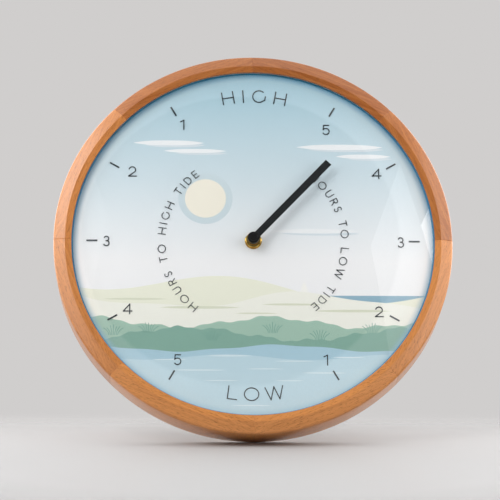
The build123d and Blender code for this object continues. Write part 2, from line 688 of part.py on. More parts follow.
def rear_cover():
    """Return the cover over the train room, let into a ledge, with a raised ring round the knob."""
    half = case_half - COVER_LEDGE - COVER_CLEARANCE
    outline = panel(-half, half, bay_top + COVER_CLEARANCE, half, CASE_CORNER - CASE_WALL)
    cover = plate(outline, level(CASE_DEPTH), level(cover_level))
    guard_radius = KNOB_RADIUS + COVER_RING_GAP
    guard = Pos(*setting_axis) * (Circle(guard_radius + COVER_RING_WALL) - Circle(guard_radius))
    cover += plate(guard, level(CASE_DEPTH + COVER_RING_HEIGHT), level(CASE_DEPTH))
    hole = SETTING_ARBOR_RADIUS + HOLE_CLEARANCE
    return cover - rod(setting_axis, hole, level(CASE_DEPTH), level(cover_level))


def circuit_board():
    """Return the circuit board that rests on two bosses beside the train."""
    board = Pos(circuit_x, CIRCUIT_CENTRE_Z) * Rectangle(CIRCUIT_WIDTH, CIRCUIT_HEIGHT)
    return plate(board, level(CIRCUIT_LEVEL + CIRCUIT_THICKNESS), level(CIRCUIT_LEVEL))


def quartz_crystal():
    """Return the crystal's can, lying on the circuit board."""
    can_y = level(CIRCUIT_LEVEL + CIRCUIT_THICKNESS) + CRYSTAL_RADIUS
    start = Plane(origin=(circuit_x, can_y, CIRCUIT_CENTRE_Z - CRYSTAL_LENGTH / 2))
    return extrude(start * Circle(CRYSTAL_RADIUS), CRYSTAL_LENGTH)


# The battery lies along X in its bay, its plus end at the viewer's right
bay_z = (bay_top - case_inner_half) / 2
battery_y = level(CASE_WALL + BATTERY_FLOOR_GAP + BATTERY_RADIUS)
plus_face_x = bay_length / 2 - CONTACT_THICKNESS
battery_shoulder_x = plus_face_x - BATTERY_NUB_LENGTH
minus_end_x = battery_shoulder_x - BATTERY_LENGTH


def battery():
    """Return an AA cell with its plus nub."""
    start = Plane(origin=(minus_end_x, battery_y, bay_z), x_dir=(0, 1, 0), z_dir=(1, 0, 0))
    nub = Plane(origin=(battery_shoulder_x, battery_y, bay_z), x_dir=(0, 1, 0), z_dir=(1, 0, 0))
    can = extrude(start * Circle(BATTERY_RADIUS), BATTERY_LENGTH)
    return can + extrude(nub * Circle(BATTERY_NUB_RADIUS), BATTERY_NUB_LENGTH)


def plus_contact():
    """Return the flat contact against the bay's right wall."""
    strip = Pos(plus_face_x + CONTACT_THICKNESS / 2, bay_z) * Rectangle(CONTACT_THICKNESS, CONTACT_HEIGHT)
    return plate(strip, battery_y + CONTACT_WIDTH / 2, battery_y - CONTACT_WIDTH / 2)


def minus_contact():
    """Return the bowed leaf between the bay's left wall and the battery's flat end."""
    wall_x = minus_end_x - LEAF_BOW
    half = CONTACT_HEIGHT / 2
    outer = ThreePointArc((wall_x, bay_z - half), (minus_end_x, bay_z), (wall_x, bay_z + half))
    inner_half = half - 2 * CONTACT_THICKNESS
    inner = ThreePointArc(
        (wall_x, bay_z - inner_half), (minus_end_x - CONTACT_THICKNESS, bay_z), (wall_x, bay_z + inner_half)
    )
    foot = Line(outer @ 0, inner @ 0)
    head = Line(inner @ 1, outer @ 1)
    leaf = make_face(outer + head + inner + foot)
    return plate(leaf, battery_y + CONTACT_WIDTH / 2, battery_y - CONTACT_WIDTH / 2)


third_level = (FOURTH_WHEEL_LEVEL, FOURTH_WHEEL_THICKNESS, FOURTH_MODULE, third_pinion_phase)
second_level = (THIRD_WHEEL_LEVEL, FAST_WHEEL_THICKNESS, FAST_MODULE, second_pinion_phase)
first_level = (second_wheel_level, FAST_WHEEL_THICKNESS, FAST_MODULE, first_pinion_phase)

parts = {f"frame_segment_{k}": frame_segment(k) for k in range(1, SEGMENT_COUNT + 1)}
parts |= {
    "lens": lens(),
    "spacer_ring": ring(stack_radius, lip_radius + SPACER_INSET, print_front_y, lens_back_y),
    "dial_print": ring(stack_radius, BUSH_RADIUS + HOLE_CLEARANCE, board_front_y, print_front_y),
    "dial_board": ring(stack_radius, BUSH_RADIUS + HOLE_CLEARANCE, board_back_y, board_front_y),
    "retaining_points": retaining_points(),
    "rubber_washer": ring(RUBBER_RADIUS, BUSH_RADIUS + HOLE_CLEARANCE, rubber_back_y, board_back_y),
    "hanger_plate": hanger_plate(),
    "dial_washer": ring(DIAL_WASHER_RADIUS, BUSH_RADIUS + HOLE_CLEARANCE, print_front_y, washer_front_y),
    "dial_nut": dial_nut(),
    "threaded_bush": threaded_bush(),
    "hand": hand(),
    "hand_cap": hand_cap(),
    "tide_wheel": tide_wheel(),
    "setting_arbor": setting_arbor(),
    "clutch_washer": clutch_washer(),
    "setting_knob": setting_knob(),
    "fourth_wheel": fourth_wheel(),
    "third_wheel": fast_wheel(third_axis, THIRD_WHEEL_LEVEL, SECOND_ANGLE, *third_level),
    "second_wheel": fast_wheel(second_axis, second_wheel_level, FIRST_ANGLE, *second_level),
    "first_wheel": fast_wheel(first_axis, first_wheel_level, ROTOR_ANGLE, *first_level),
    "rotor": rotor(),
    "rotor_magnet": rotor_magnet(),
    "stator": stator(),
    "coil_core": coil_core(),
    "coil_winding": coil_winding(),
    "front_case": front_case(),
    "train_plate": train_plate(),
    "rear_cover": rear_cover(),
    "circuit_board": circuit_board(),
    "quartz_crystal": quartz_crystal(),
    "battery": battery(),
    "plus_contact": plus_contact(),
    "minus_contact": minus_contact(),
}

os.makedirs("parts", exist_ok=True)
for name, shape in parts.items():
    export_step(Pos(0, 0, -hanger_rise) * shape, f"parts/{name}.step")
print("hand axis below the keyhole", round(hanger_rise, 3))
for name, axis in (("setting", setting_axis), ("third", third_axis), ("second", second_axis)):
    print(name, "axis", [round(value, 4) for value in axis])
for name, axis in (("first", first_axis), ("rotor", rotor_axis)):
    print(name, "axis", [round(value, 4) for value in axis])
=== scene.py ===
import math

import bmesh
import bpy
import numpy as np
from bpy.props import FloatProperty, FloatVectorProperty, PointerProperty
from mathutils import Matrix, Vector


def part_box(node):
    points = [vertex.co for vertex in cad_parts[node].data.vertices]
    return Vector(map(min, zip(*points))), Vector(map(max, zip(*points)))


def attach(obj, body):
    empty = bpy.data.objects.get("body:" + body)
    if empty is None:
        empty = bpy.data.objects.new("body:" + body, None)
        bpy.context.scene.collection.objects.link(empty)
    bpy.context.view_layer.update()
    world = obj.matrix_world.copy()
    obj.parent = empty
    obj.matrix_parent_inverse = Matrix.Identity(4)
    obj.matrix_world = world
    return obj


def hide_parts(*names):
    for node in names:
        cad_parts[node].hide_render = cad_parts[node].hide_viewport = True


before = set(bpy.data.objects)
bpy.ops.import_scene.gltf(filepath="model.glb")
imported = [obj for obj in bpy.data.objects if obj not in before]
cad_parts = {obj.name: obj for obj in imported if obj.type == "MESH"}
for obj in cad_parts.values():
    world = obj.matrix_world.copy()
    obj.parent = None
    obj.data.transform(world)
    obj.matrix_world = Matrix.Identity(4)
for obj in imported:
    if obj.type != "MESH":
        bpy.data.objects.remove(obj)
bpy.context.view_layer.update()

bl_info = {
    "name": "Tide Clock",
    "version": (1, 0, 0),
    "blender": (4, 5, 0),
    "location": "View3D > Sidebar > Tide Clock",
    "description": "Dresses the packed tide clock with wood, glass, a printed dial and a studio",
    "category": "Object",
}

MM = 0.001
SEGMENTS = 8
BODY = "clock"

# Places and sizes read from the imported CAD
RING = np.array([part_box(f"frame_segment_{k}") for k in range(1, SEGMENTS + 1)])
RING_LOW, RING_HIGH = RING[:, 0].min(axis=0), RING[:, 1].max(axis=0)
HUB_X = float(RING_LOW[0] + RING_HIGH[0]) / 2
HUB_Z = float(RING_LOW[2] + RING_HIGH[2]) / 2
FRAME_RADIUS = float(RING_HIGH[0] - RING_LOW[0]) / 2
FRAME_FRONT = float(RING_LOW[1])
PRINT_LOW, PRINT_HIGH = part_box("dial_print")
PRINT_FRONT, PRINT_BACK = PRINT_LOW[1], PRINT_HIGH[1]
STACK_RADIUS = (PRINT_HIGH[0] - PRINT_LOW[0]) / 2
LENS_FRONT, LENS_BACK = (corner[1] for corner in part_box("lens"))

# How finely curves are divided
ROUND_STEPS = 192
DISC_STEPS = 96
FILLET_STEPS = 7
SEGMENT_STEPS = 49
DOME_STEPS = 49
STREAK_STEPS = 41
SHORE_STEPS = 361

# Wood: each segment's lightness, the width of a glue line, and how far the grain moves on from strip to strip
# Each segment's lightness is partly the strip's own tone and partly painted shade and light: the top segments are
# darker and the lower ones lighter.
SEGMENT_TONES_AND_SHADE = (-0.06, 0.04, 0.42, 0.50, 0.50, 0.31, 0.28, 0.02)
GLUE_LINE = 0.25 * MM
GRAIN_SHIFT = (0.37, 0.11, 0.07)

# Print: how deep ink is let into the sheet, the layer of the marks, how far an even colour and the fading one
# reach, and where the picture starts to run into its blue edge, partly print and partly painted shade of the lip
INK_BED = 0.05 * MM
MARK_LAYER = 24
WASH_REACH = 140 * MM
WASH_FADE = 20 * MM
EDGE_START = 130 * MM
EDGE_REACH = 137 * MM

# Studio: the clock leans back, so the room's axes are tilted in the part's frame
LEAN = math.radians(23.3)
UP = np.array([0.0, -math.sin(LEAN), math.cos(LEAN)])
TOWARDS = np.array([0.0, -math.cos(LEAN), -math.sin(LEAN)])
RIGHT = np.array([1.0, 0.0, 0.0])
CENTRE = np.array([HUB_X, PRINT_FRONT, HUB_Z])

# Floor: rings, spokes and reach, the gap under the clock, and where it fades out round and behind the clock
FLOOR_RINGS, FLOOR_SPOKES, FLOOR_REACH = 25, 96, 0.37
FLOOR_GAP = 0.02 * MM
FLOOR_FADE = {"From Min": 0.365, "From Max": 0.22}
FLOOR_BEHIND = (-0.16, -0.02)

# World: the room's light from behind to in front, the height of the opening, and for its edge and for the edge of
# the lit sheet round it two angles from its middle with the light at each
ROOM = {"From Min": -0.35, "From Max": 0.45, "To Min": 1.3, "To Max": 0.06}
OPENING = math.radians(42.9)
OPENING_EDGES = ((18.9, 19.5, 0.1, 1.0), (40.0, 31.0, 0.0, 0.62))

# Lamps: place (right, towards the eye, up) from the dial's centre, direction, width, height and watts
LAMPS = {
    "panel_above": ((0.0, -0.255, 0.75), (0.0, 0.0, -1.0), 1.1, 0.83, 2.65),
    "panel_left": ((-0.30, -0.075, 0.19), (1.0, 0.0, 0.0), 0.75, 0.46, 2.45),
    "panel_right": ((0.30, -0.075, 0.145), (-1.0, 0.0, 0.0), 0.75, 0.37, 2.1),
    "wing_left": ((-0.30, 0.38, 0.235), (1.0, 0.0, 0.0), 0.16, 0.55, 0.06),
    "wing_right": ((0.30, 0.435, 0.235), (-1.0, 0.0, 0.0), 0.27, 0.55, 0.26),
    "key_left": ((-1.36, 1.08, 1.88), (1.36, -1.08, -1.88), 1.05, 1.05, 13.8),
}

# Camera: yaw, pitch and roll in degrees, place, focal length and sensor in millimetres
CAMERA_TURN = (1.525, 19.294, -0.267)
CAMERA_PLACE = (-0.0468, -1.6866, -0.6296)
CAMERA_LENS, CAMERA_SENSOR = 169.06, 36.0

WHITE, BLACK = (1, 1, 1, 1), (0, 0, 0, 1)


def linear(code):
    """Turn an sRGB hex colour into linear red, green, blue and alpha."""
    srgb = np.array([int(code[k:k + 2], 16) for k in (0, 2, 4)]) / 255
    rgb = np.where(srgb <= 0.04045, srgb / 12.92, ((srgb + 0.055) / 1.055) ** 2.4)
    return (*rgb.tolist(), 1.0)


def length(name, description, millimetres):
    """Return a length property with its default given in millimetres."""
    return FloatProperty(name=name, description=description, default=millimetres * MM, unit="LENGTH", precision=5)


def colour(name, description, code):
    """Return a colour property with its default given as an sRGB hex value."""
    return FloatVectorProperty(
        name=name, description=description, default=linear(code), size=4, min=0, max=1, subtype="COLOR"
    )


class ClockSizes(bpy.types.PropertyGroup):
    """Sizes of the dressed clock."""

    ridge_inset: length("Ridge inset", "Width of the frame's outer slope", 8.9)
    slope_drop: length("Slope drop", "Fall of the outer slope from the ridge", 2.6)
    bevel_width: length("Bevel width", "Width of the bevel inside the ridge", 4.7)
    bevel_drop: length("Bevel drop", "Fall of the inner bevel from the ridge", 0.5)
    lip_thickness: length("Lip thickness", "Thickness of the lip in front of the lens", 2.0)
    rabbet_step: length("Rabbet step", "Depth of the rabbet behind the lip", 4.6)
    outer_round: length("Outer round", "Radius of the frame's outer front edge", 2.0)
    ridge_round: length("Ridge round", "Radius of the ridge", 1.6)
    back_round: length("Back round", "Radius of the back edge", 1.5)
    glue_chamfer: length("Glue chamfer", "Fall of the wood at each glue joint", 0.1)
    lens_thickness: length("Lens thickness", "Thickness of the domed lens", 2.0)
    lens_gap: length("Lens gap", "Gap between the dome and the lip", 0.8)
    print_hole: length("Print hole", "Radius of the hole in the printed sheet", 4.3)
    print_edge: length("Printed edge", "Radius of the printed picture", 136.8)
    border_inner: length("Border", "Inner radius of the blue border", 135.2)
    border_rise: length("Border rise", "Height of the border's centre over the dial's", 0.2)
    ink_step: length("Ink step", "Thickness of one printed layer", 0.012)
    tick_inner: length("Tick start", "Radius where the hour ticks start", 117.6)
    tick_outer: length("Tick end", "Radius where the hour ticks end", 124.6)
    tick_width: length("Tick width", "Width of the hour ticks", 1.2)
    numeral_height: length("Numeral height", "Height of the numerals", 8.3)
    word_height: length("Word height", "Height of the words at top and bottom", 10.4)
    legend_radius: length("Legend radius", "Radius of the legends' middle line", 69.0)
    legend_height: length("Legend height", "Height of the legends' letters", 6.1)
    stroke: length("Stroke", "Stroke of numerals and words", 0.8)
    legend_stroke: length("Legend stroke", "Stroke of the legends", 0.58)


class ClockColours(bpy.types.PropertyGroup):
    """Colours of the dressed clock."""

    wood_light: colour("Light wood", "Lacquered wood, early growth", "dc9250")
    wood_dark: colour("Dark wood", "Lacquered wood, late growth", "93501d")
    wood_pore: colour("Wood pores", "Open pores along the grain", "4a260e")
    sky_top: colour("Upper sky", "Top of the printed sky", "a0c5d3")
    sky_mid: colour("Middle sky", "Printed sky behind the numerals", "cbdbe2")
    sky_low: colour("Lower sky", "Printed sky near the horizon", "eff0f1")
    # The upper border is darker partly in its print and partly as painted shade of the lip.
    border_top_and_shade: colour("Upper border", "Border at the top of the dial", "06789c")
    border_foot: colour("Lower border", "Border at the foot of the dial", "2c97cc")
    # The rim colours: partly the printed edge's blue, partly painted shade of the lip, darkest at the top.
    rim_top_and_shade: colour("Rim at the top", "Blue of the picture's edge at the top", "3a9cc6")
    rim_side_and_shade: colour("Rim at the sides", "Blue of the picture's edge at the sides", "6fb4d6")
    rim_foot_and_shade: colour("Rim at the foot", "Blue of the picture's edge at the foot", "9fcce2")
    sun: colour("Sun", "Pale disc in the sky", "eeeadb")
    cloud: colour("Cloud", "Thin layers of cloud", "eaeef0")
    sea: colour("Far sea", "Sea on the horizon", "8fb4c6")
    dune_far: colour("Far dunes", "Dunes behind", "ebeddb")
    dune_near: colour("Near dunes", "Dunes in front", "f2f3e9")
    marsh_far: colour("Far marsh", "Marsh grass behind", "a3c5b4")
    marsh_near: colour("Near marsh", "Marsh grass in front", "83ae9f")
    water_far: colour("Far water", "Water beyond the shallows", "8fb9cc")
    water_mid: colour("Middle water", "Water in the shallows", "abccda")
    water_near: colour("Near water", "Water at the foot of the dial", "bed8e2")
    halo: colour("Halo", "Haze round the sun", "c6d6dc")
    cloud_foot: colour("Cloud foot", "Shaded foot of the clouds", "d3dee4")
    dune_shade: colour("Dune shade", "Hollows of the dunes", "d8dcc6")
    reed: colour("Reeds", "Reeds in the marsh", "6d9c8e")
    ripple: colour("Ripples", "Light on the water", "d6e6ec")
    sail: colour("Sail", "Sail on the horizon", "f4f4ef")
    ink: colour("Ink", "Numerals, words and ticks", "1e2930")
    hand: colour("Hand", "Painted hand", "1f2224")
    cap: colour("Cap", "Moulded cap", "08090b")
    brass: colour("Brass", "Turned brass", "e3bd62")
    hardboard: colour("Hardboard", "Dial board seen from behind", "7a5636")
    case: colour("Case", "Moulded movement case", "1b1c1e")
    backdrop: colour("Backdrop", "Studio behind the clock", "d0cecd")
    floor: colour("Floor", "Studio floor", "a9a8a8")


def columns(*values):
    """Lay arrays side by side along a new last axis, each spread to their common shape."""
    return np.stack(np.broadcast_arrays(*values), axis=-1)


def unit(vectors):
    """Scale vectors, which run along the last axis, to a length of one."""
    return vectors / np.linalg.norm(vectors, axis=-1, keepdims=True)


def grid_faces(rows, steps, wrap_rows, wrap_steps):
    """Index the quads of a grid of points, row after row of steps, closed in either direction or not."""
    row = np.arange(rows if wrap_rows else rows - 1)[:, None]
    step = np.arange(steps if wrap_steps else steps - 1)[None, :]
    here, below, following = row * steps, (row + 1) % rows * steps, (step + 1) % steps
    return columns(here + step, here + following, below + following, below + step).reshape(-1, 4)


def swept(stations):
    """Give points and faces of a solid whose section, a row of points, is carried along a path, with flat ends."""
    count, around = stations.shape[:2]
    start = np.arange(around)[None, ::-1]
    end = np.arange(around)[None, :] + (count - 1) * around
    return stations.reshape(-1, 3), [grid_faces(count, around, False, True), start, end]


def turned(profile, steps, centre=(0.0, 0.0)):
    """Give points and faces of a solid of revolution.

    Each (r, y) of the profile becomes (cx + r sin a, y, cz + r cos a) for steps angles a. The profile
    closes on itself, and points on the axis are merged afterwards.
    """
    angle = np.linspace(0, 2 * np.pi, steps, endpoint=False)[:, None]
    radius, depth = profile[:, 0], profile[:, 1]
    x = HUB_X + centre[0] + radius * np.sin(angle)
    z = HUB_Z + centre[1] + radius * np.cos(angle)
    return columns(x, depth, z).reshape(-1, 3), [grid_faces(steps, len(profile), True, True)]


def slip(corners):
    """Carry a section along a line on the dial: each corner is its own path of (x, z) and a depth."""
    rows = [columns(HUB_X + path[:, 0], y, HUB_Z + path[:, 1]) for path, y in corners]
    return swept(np.stack(rows, axis=1))


def joined(shapes):
    """Put several (points, face sets) together as one shape."""
    points, faces, offset = [], [], 0
    for some_points, face_sets in shapes:
        points.append(some_points)
        faces.extend(face_set + offset for face_set in face_sets)
        offset += len(some_points)
    return np.concatenate(points), faces


def make_piece(name, shape, material, stands_for=(), attributes=None, sharp=35.0):
    """Put a shape into a mesh object at the origin, riding on the clock, with outward faces and merged doubles."""
    points, face_sets = shape
    if not np.isfinite(points).all():
        raise ValueError(f"{name} has a point that is not a number")
    mesh = bpy.data.meshes.new(name)
    mesh.from_pydata(points, [], [face for faces in face_sets for face in faces.tolist()])
    for key, (kind, values) in (attributes or {}).items():
        layer = mesh.attributes.new(key, kind, "POINT")
        layer.data.foreach_set("vector" if kind == "FLOAT_VECTOR" else "value", values.astype(np.float32).ravel())
    work = bmesh.new()
    work.from_mesh(mesh)
    bmesh.ops.remove_doubles(work, verts=work.verts, dist=1e-7)
    bmesh.ops.recalc_face_normals(work, faces=work.faces)
    work.to_mesh(mesh)
    work.free()
    mesh.polygons.foreach_set("use_smooth", np.ones(len(mesh.polygons), dtype=bool))
    mesh.set_sharp_from_angle(angle=math.radians(sharp))
    mesh.materials.append(material)
    piece = bpy.data.objects.new(name, mesh)
    bpy.context.scene.collection.objects.link(piece)
    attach(piece, BODY)
    if stands_for:
        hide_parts(*stands_for)


def rounded(corners):
    """Walk round a section of (r, y, fillet radius) corners, each fillet an arc that touches both its sides."""
    points = []
    for k, (x, y, fillet) in enumerate(corners):
        here = np.array([x, y])
        if fillet == 0:
            points.append(here[None, :])
            continue
        back = unit(np.array(corners[k - 1][:2]) - here)
        ahead = unit(np.array(corners[(k + 1) % len(corners)][:2]) - here)
        half = np.arccos(np.clip(back @ ahead, -1, 1)) / 2
        middle = unit(back + ahead)
        centre = here + middle * fillet / np.sin(half)
        turn = np.linspace(-1, 1, FILLET_STEPS)[:, None] * (np.pi / 2 - half)
        side = np.array([-middle[1], middle[0]])
        side = side * np.sign(side @ ahead)
        points.append(centre - middle * fillet * np.cos(turn) + side * fillet * np.sin(turn))
    return np.concatenate(points)


def feed(tree, node, inputs):
    """Set a node's inputs: each is a socket or a node to link from, by its first output, or else a constant."""
    for key, value in inputs.items():
        if isinstance(value, bpy.types.Node):
            value = value.outputs[0]
        if isinstance(value, bpy.types.NodeSocket):
            tree.links.new(value, node.inputs[key])
        else:
            node.inputs[key].default_value = value


def add(tree, kind, inputs=None, stops=(), **settings):
    """Add a shader node with its settings, inputs and ramp stops."""
    made = tree.nodes.new("ShaderNode" + kind)
    for key, value in settings.items():
        setattr(made, key, value)
    feed(tree, made, inputs or {})
    if stops:
        elements = made.color_ramp.elements
        while len(elements) < len(stops):
            elements.new(1.0)
        for element, (position, value) in zip(elements, stops):
            element.position = position
            element.color = value
    return made


def begin(name, sockets):
    """Start a material: return it, its node tree and its shader with constant sockets set."""
    material = bpy.data.materials.new(name)
    material.use_nodes = True
    tree = material.node_tree
    shader = tree.nodes["Principled BSDF"]
    feed(tree, shader, sockets)
    return material, tree, shader


def dimmed(value, factor):
    """Return a colour with its light scaled."""
    return (*(channel * factor for channel in value[:3]), 1.0)


def finish(nodes, name, base, dark, grain_mm, sockets, bump=0.02, stretch=(1, 1, 1)):
    """Give CAD nodes a material with two-tone grain of a real size and a bump from the same grain."""
    material, tree, shader = begin(name, sockets)
    place = add(tree, "TexCoord").outputs["Object"]
    scale = tuple(1 / (grain_mm * MM) / s for s in stretch)
    spread = add(tree, "Mapping", {"Vector": place, "Scale": scale})
    noise = add(tree, "TexNoise", {"Vector": spread, "Scale": 1.0, "Detail": 5.0, "Roughness": 0.6})
    ramp = add(tree, "ValToRGB", {"Fac": noise}, ((0.3, dark), (0.7, base)))
    relief = add(tree, "Bump", {"Height": noise, "Strength": 0.5, "Distance": bump * MM})
    feed(tree, shader, {"Base Color": ramp, "Normal": relief})
    for node in (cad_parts[key] for key in nodes):
        if not node.material_slots:
            node.data.materials.append(material)
        for slot in node.material_slots:
            slot.material = material


def lacquered_wood(colours):
    """Rubberwood strips, planed and sprayed with satin lacquer: streaks and short pores along each strip."""
    sockets = {"IOR": 1.5, "Specular IOR Level": 0.15, "Coat Weight": 0.8, "Coat Roughness": 0.24, "Coat IOR": 1.5}
    material, tree, shader = begin("satin_lacquered_rubberwood", sockets)
    grain = add(tree, "Attribute", attribute_name="grain").outputs["Vector"]
    tone = add(tree, "Attribute", attribute_name="tone").outputs["Fac"]
    # Growth streaks about 2 mm wide and 80 mm long
    spread = add(tree, "Mapping", {"Vector": grain, "Scale": (12.0, 520.0, 520.0)})
    streaks = add(tree, "TexNoise", {"Vector": spread, "Scale": 1.0, "Detail": 5.0, "Roughness": 0.6})
    # Pores about 0.4 mm wide and 4 mm long, drawn coarser than life so that they show
    spread = add(tree, "Mapping", {"Vector": grain, "Scale": (250.0, 2400.0, 2400.0)})
    pores = add(tree, "TexNoise", {"Vector": spread, "Scale": 1.0, "Detail": 3.0, "Roughness": 0.5})
    # Each segment's value shifts the streaks: partly the strip's own tone, partly painted shade on the top segments
    # and painted light on the lower ones.
    shifted = add(tree, "Math", {0: streaks, 1: 0.7, 2: tone}, operation="MULTIPLY_ADD")
    body = add(tree, "ValToRGB", {"Fac": shifted}, ((0.2, colours.wood_dark), (1.0, colours.wood_light)))
    mask = add(tree, "ValToRGB", {"Fac": pores}, ((0.34, WHITE), (0.44, BLACK)))
    share = add(tree, "Math", {0: mask, 1: 0.42}, operation="MULTIPLY")
    mixed = add(tree, "Mix", {0: share, 6: body, 7: colours.wood_pore}, data_type="RGBA").outputs[2]
    sheen = add(tree, "MapRange", {"Value": streaks, "To Min": 0.38, "To Max": 0.52})
    relief = add(tree, "Bump", {"Height": pores, "Strength": 0.35, "Distance": 0.05 * MM})
    feed(tree, shader, {"Base Color": mixed, "Roughness": sheen, "Normal": relief})
    return material


def clear_glass():
    """Slumped mineral glass, polished: clear, with light passing straight to the dial for its shadow."""
    sockets = {"Base Color": WHITE, "Roughness": 0.0, "IOR": 1.5, "Transmission Weight": 1.0}
    material, tree, shader = begin("polished_mineral_glass", sockets)
    path = add(tree, "LightPath").outputs
    either = add(tree, "Math", {0: path["Is Shadow Ray"], 1: path["Is Diffuse Ray"]}, operation="MAXIMUM")
    blend = add(tree, "MixShader", {0: either, 1: shader, 2: add(tree, "BsdfTransparent")})
    feed(tree, tree.nodes["Material Output"], {"Surface": blend})
    return material


def printed(name, stops, low, high, rim_share=0.8):
    """Matt art paper, offset printed: a colour wash between two heights on the dial, with faint paper fibre.

    The last 7 mm of the picture run into a blue that is partly a printed edge and partly painted shade of the lip:
    darker towards the top, paler at the foot.
    """
    colours, print_edge = bpy.context.scene.clock_colours, bpy.context.scene.clock_sizes.print_edge
    material, tree, shader = begin(name, {"Roughness": 0.6, "IOR": 1.45})
    place = add(tree, "TexCoord").outputs["Object"]
    height = add(tree, "SeparateXYZ", {"Vector": place}).outputs["Z"]
    share = add(tree, "MapRange", {"Value": height, "From Min": HUB_Z + low, "From Max": HUB_Z + high})
    wash = add(tree, "ValToRGB", {"Fac": share}, stops)
    from_hub = add(tree, "VectorMath", {0: place, 1: tuple(CENTRE)}, operation="DISTANCE").outputs["Value"]
    # Near the rim every layer runs into a blue that grows darker towards the top: partly a printed edge, partly
    # painted shade of the lip.
    radii = {"Value": from_hub, "From Min": EDGE_START, "From Max": print_edge, "To Max": rim_share}
    rim = add(tree, "MapRange", radii, interpolation_type="SMOOTHSTEP")
    rise = add(tree, "MapRange", {"Value": height, "From Min": HUB_Z - EDGE_REACH, "From Max": HUB_Z + EDGE_REACH})
    edge_blues_and_shade = ((0.0, colours.rim_foot_and_shade), (0.5, colours.rim_side_and_shade), (1.0, colours.rim_top_and_shade))
    edge = add(tree, "ValToRGB", {"Fac": rise}, edge_blues_and_shade)
    picture = add(tree, "Mix", {0: rim, 6: wash, 7: edge}, data_type="RGBA").outputs[2]
    # Fibre clumps of about 1.2 mm
    spread = add(tree, "Mapping", {"Vector": place, "Scale": (800.0, 800.0, 800.0)})
    fibre = add(tree, "TexNoise", {"Vector": spread, "Scale": 1.0, "Detail": 4.0})
    tint = add(tree, "ValToRGB", {"Fac": fibre}, ((0.3, (0.965, 0.965, 0.965, 1)), (0.7, WHITE)))
    tinted = {0: 1.0, 6: picture, 7: tint}
    paper = add(tree, "Mix", tinted, data_type="RGBA", blend_type="MULTIPLY").outputs[2]
    relief = add(tree, "Bump", {"Height": fibre, "Strength": 0.2, "Distance": 0.01 * MM})
    feed(tree, shader, {"Base Color": paper, "Normal": relief})
    return material


def one_colour(name, code):
    """Print in one even colour."""
    return printed(name, ((0.0, code), (1.0, code)), -WASH_REACH, WASH_REACH)


class TIDE_OT_frame(bpy.types.Operator):
    """Make the eight glued wooden segments of the frame"""

    bl_idname = "tideclock.frame"
    bl_label = "Wooden frame"

    def execute(self, context):
        sizes = context.scene.clock_sizes
        ridge = FRAME_RADIUS - sizes.ridge_inset
        lip = ridge - sizes.bevel_width
        rabbet = lip + sizes.rabbet_step
        lip_front = FRAME_FRONT + sizes.bevel_drop
        shoulder = lip_front + sizes.lip_thickness
        corners = (
            (rabbet, 0.0, 0),
            (FRAME_RADIUS, 0.0, sizes.back_round),
            (FRAME_RADIUS, FRAME_FRONT + sizes.slope_drop, sizes.outer_round),
            (ridge, FRAME_FRONT, sizes.ridge_round),
            (lip, lip_front, 0),
            (lip, shoulder, 0),
            (rabbet, shoulder, 0),
        )
        section = rounded(corners)
        material = lacquered_wood(context.scene.clock_colours)
        for number, tone in enumerate(SEGMENT_TONES_AND_SHADE, 1):
            self.segment(number, section, tone, material, sizes.glue_chamfer)
        return {"FINISHED"}

    def segment(self, number, section, tone, material, chamfer):
        """Carry the section through an eighth of a turn: (r, y) goes to (r sin a, y, r cos a).

        The end sections shrink towards their middle by the chamfer, which leaves a fine line at each glue
        joint. The grain vector is the place along the segment's chord, across it and in depth.
        """
        sweep = 2 * np.pi / SEGMENTS
        line = GLUE_LINE / FRAME_RADIUS
        inner = np.linspace(line, sweep - line, SEGMENT_STEPS)
        angle = (number - 1) * sweep + np.concatenate([[0.0], inner, [sweep]])
        middle = section.mean(axis=0)
        shrink = np.ones(len(angle))
        shrink[[0, -1]] = 1 - chamfer / (section[:, 0].max() - middle[0])
        profile = middle + (section - middle) * shrink[:, None, None]
        radius, depth = profile[..., 0], profile[..., 1]
        across, along = np.sin(angle)[:, None], np.cos(angle)[:, None]
        shape = swept(columns(HUB_X + radius * across, depth, HUB_Z + radius * along))
        half = (number - 0.5) * sweep
        x, y, z = (shape[0] - (HUB_X, 0.0, HUB_Z)).T
        along, across = x * np.cos(half) - z * np.sin(half), x * np.sin(half) + z * np.cos(half)
        grain = columns(along, across, y) + np.array(GRAIN_SHIFT) * number
        # Per point, the segment's value: its own tone together with painted shade at the top and painted light
        # lower down.
        attributes = {"grain": ("FLOAT_VECTOR", grain), "tone": ("FLOAT", np.full(len(x), tone))}
        stands_for = (f"frame_segment_{number}",)
        make_piece(f"wood_segment_{number}", shape, material, stands_for, attributes)


class TIDE_OT_lens(bpy.types.Operator):
    """Make the domed glass lens"""

    bl_idname = "tideclock.lens"
    bl_label = "Domed lens"

    def execute(self, context):
        """Both faces are arcs of one rise: y = apex + R - sqrt(R^2 - r^2), with R = (a^2 + h^2) / 2h."""
        sizes = context.scene.clock_sizes
        lip = FRAME_RADIUS - sizes.ridge_inset - sizes.bevel_width
        rim = lip - sizes.lens_gap
        rise = LENS_BACK - sizes.lens_thickness - LENS_FRONT
        arc = (rim**2 + rise**2) / (2 * rise)
        radius = rim * np.sin(np.linspace(0, np.pi / 2, DOME_STEPS))
        sag = arc - np.sqrt(arc**2 - radius**2)
        front = columns(radius, LENS_FRONT + sag)
        back = columns(radius, LENS_FRONT + sizes.lens_thickness + sag)[::-1]
        edge = np.array([[STACK_RADIUS, LENS_BACK - sizes.lens_thickness], [STACK_RADIUS, LENS_BACK]])
        shape = turned(np.concatenate([front, edge, back]), ROUND_STEPS)
        make_piece("domed_lens", shape, clear_glass(), ("lens",), sharp=20.0)
        return {"FINISHED"}


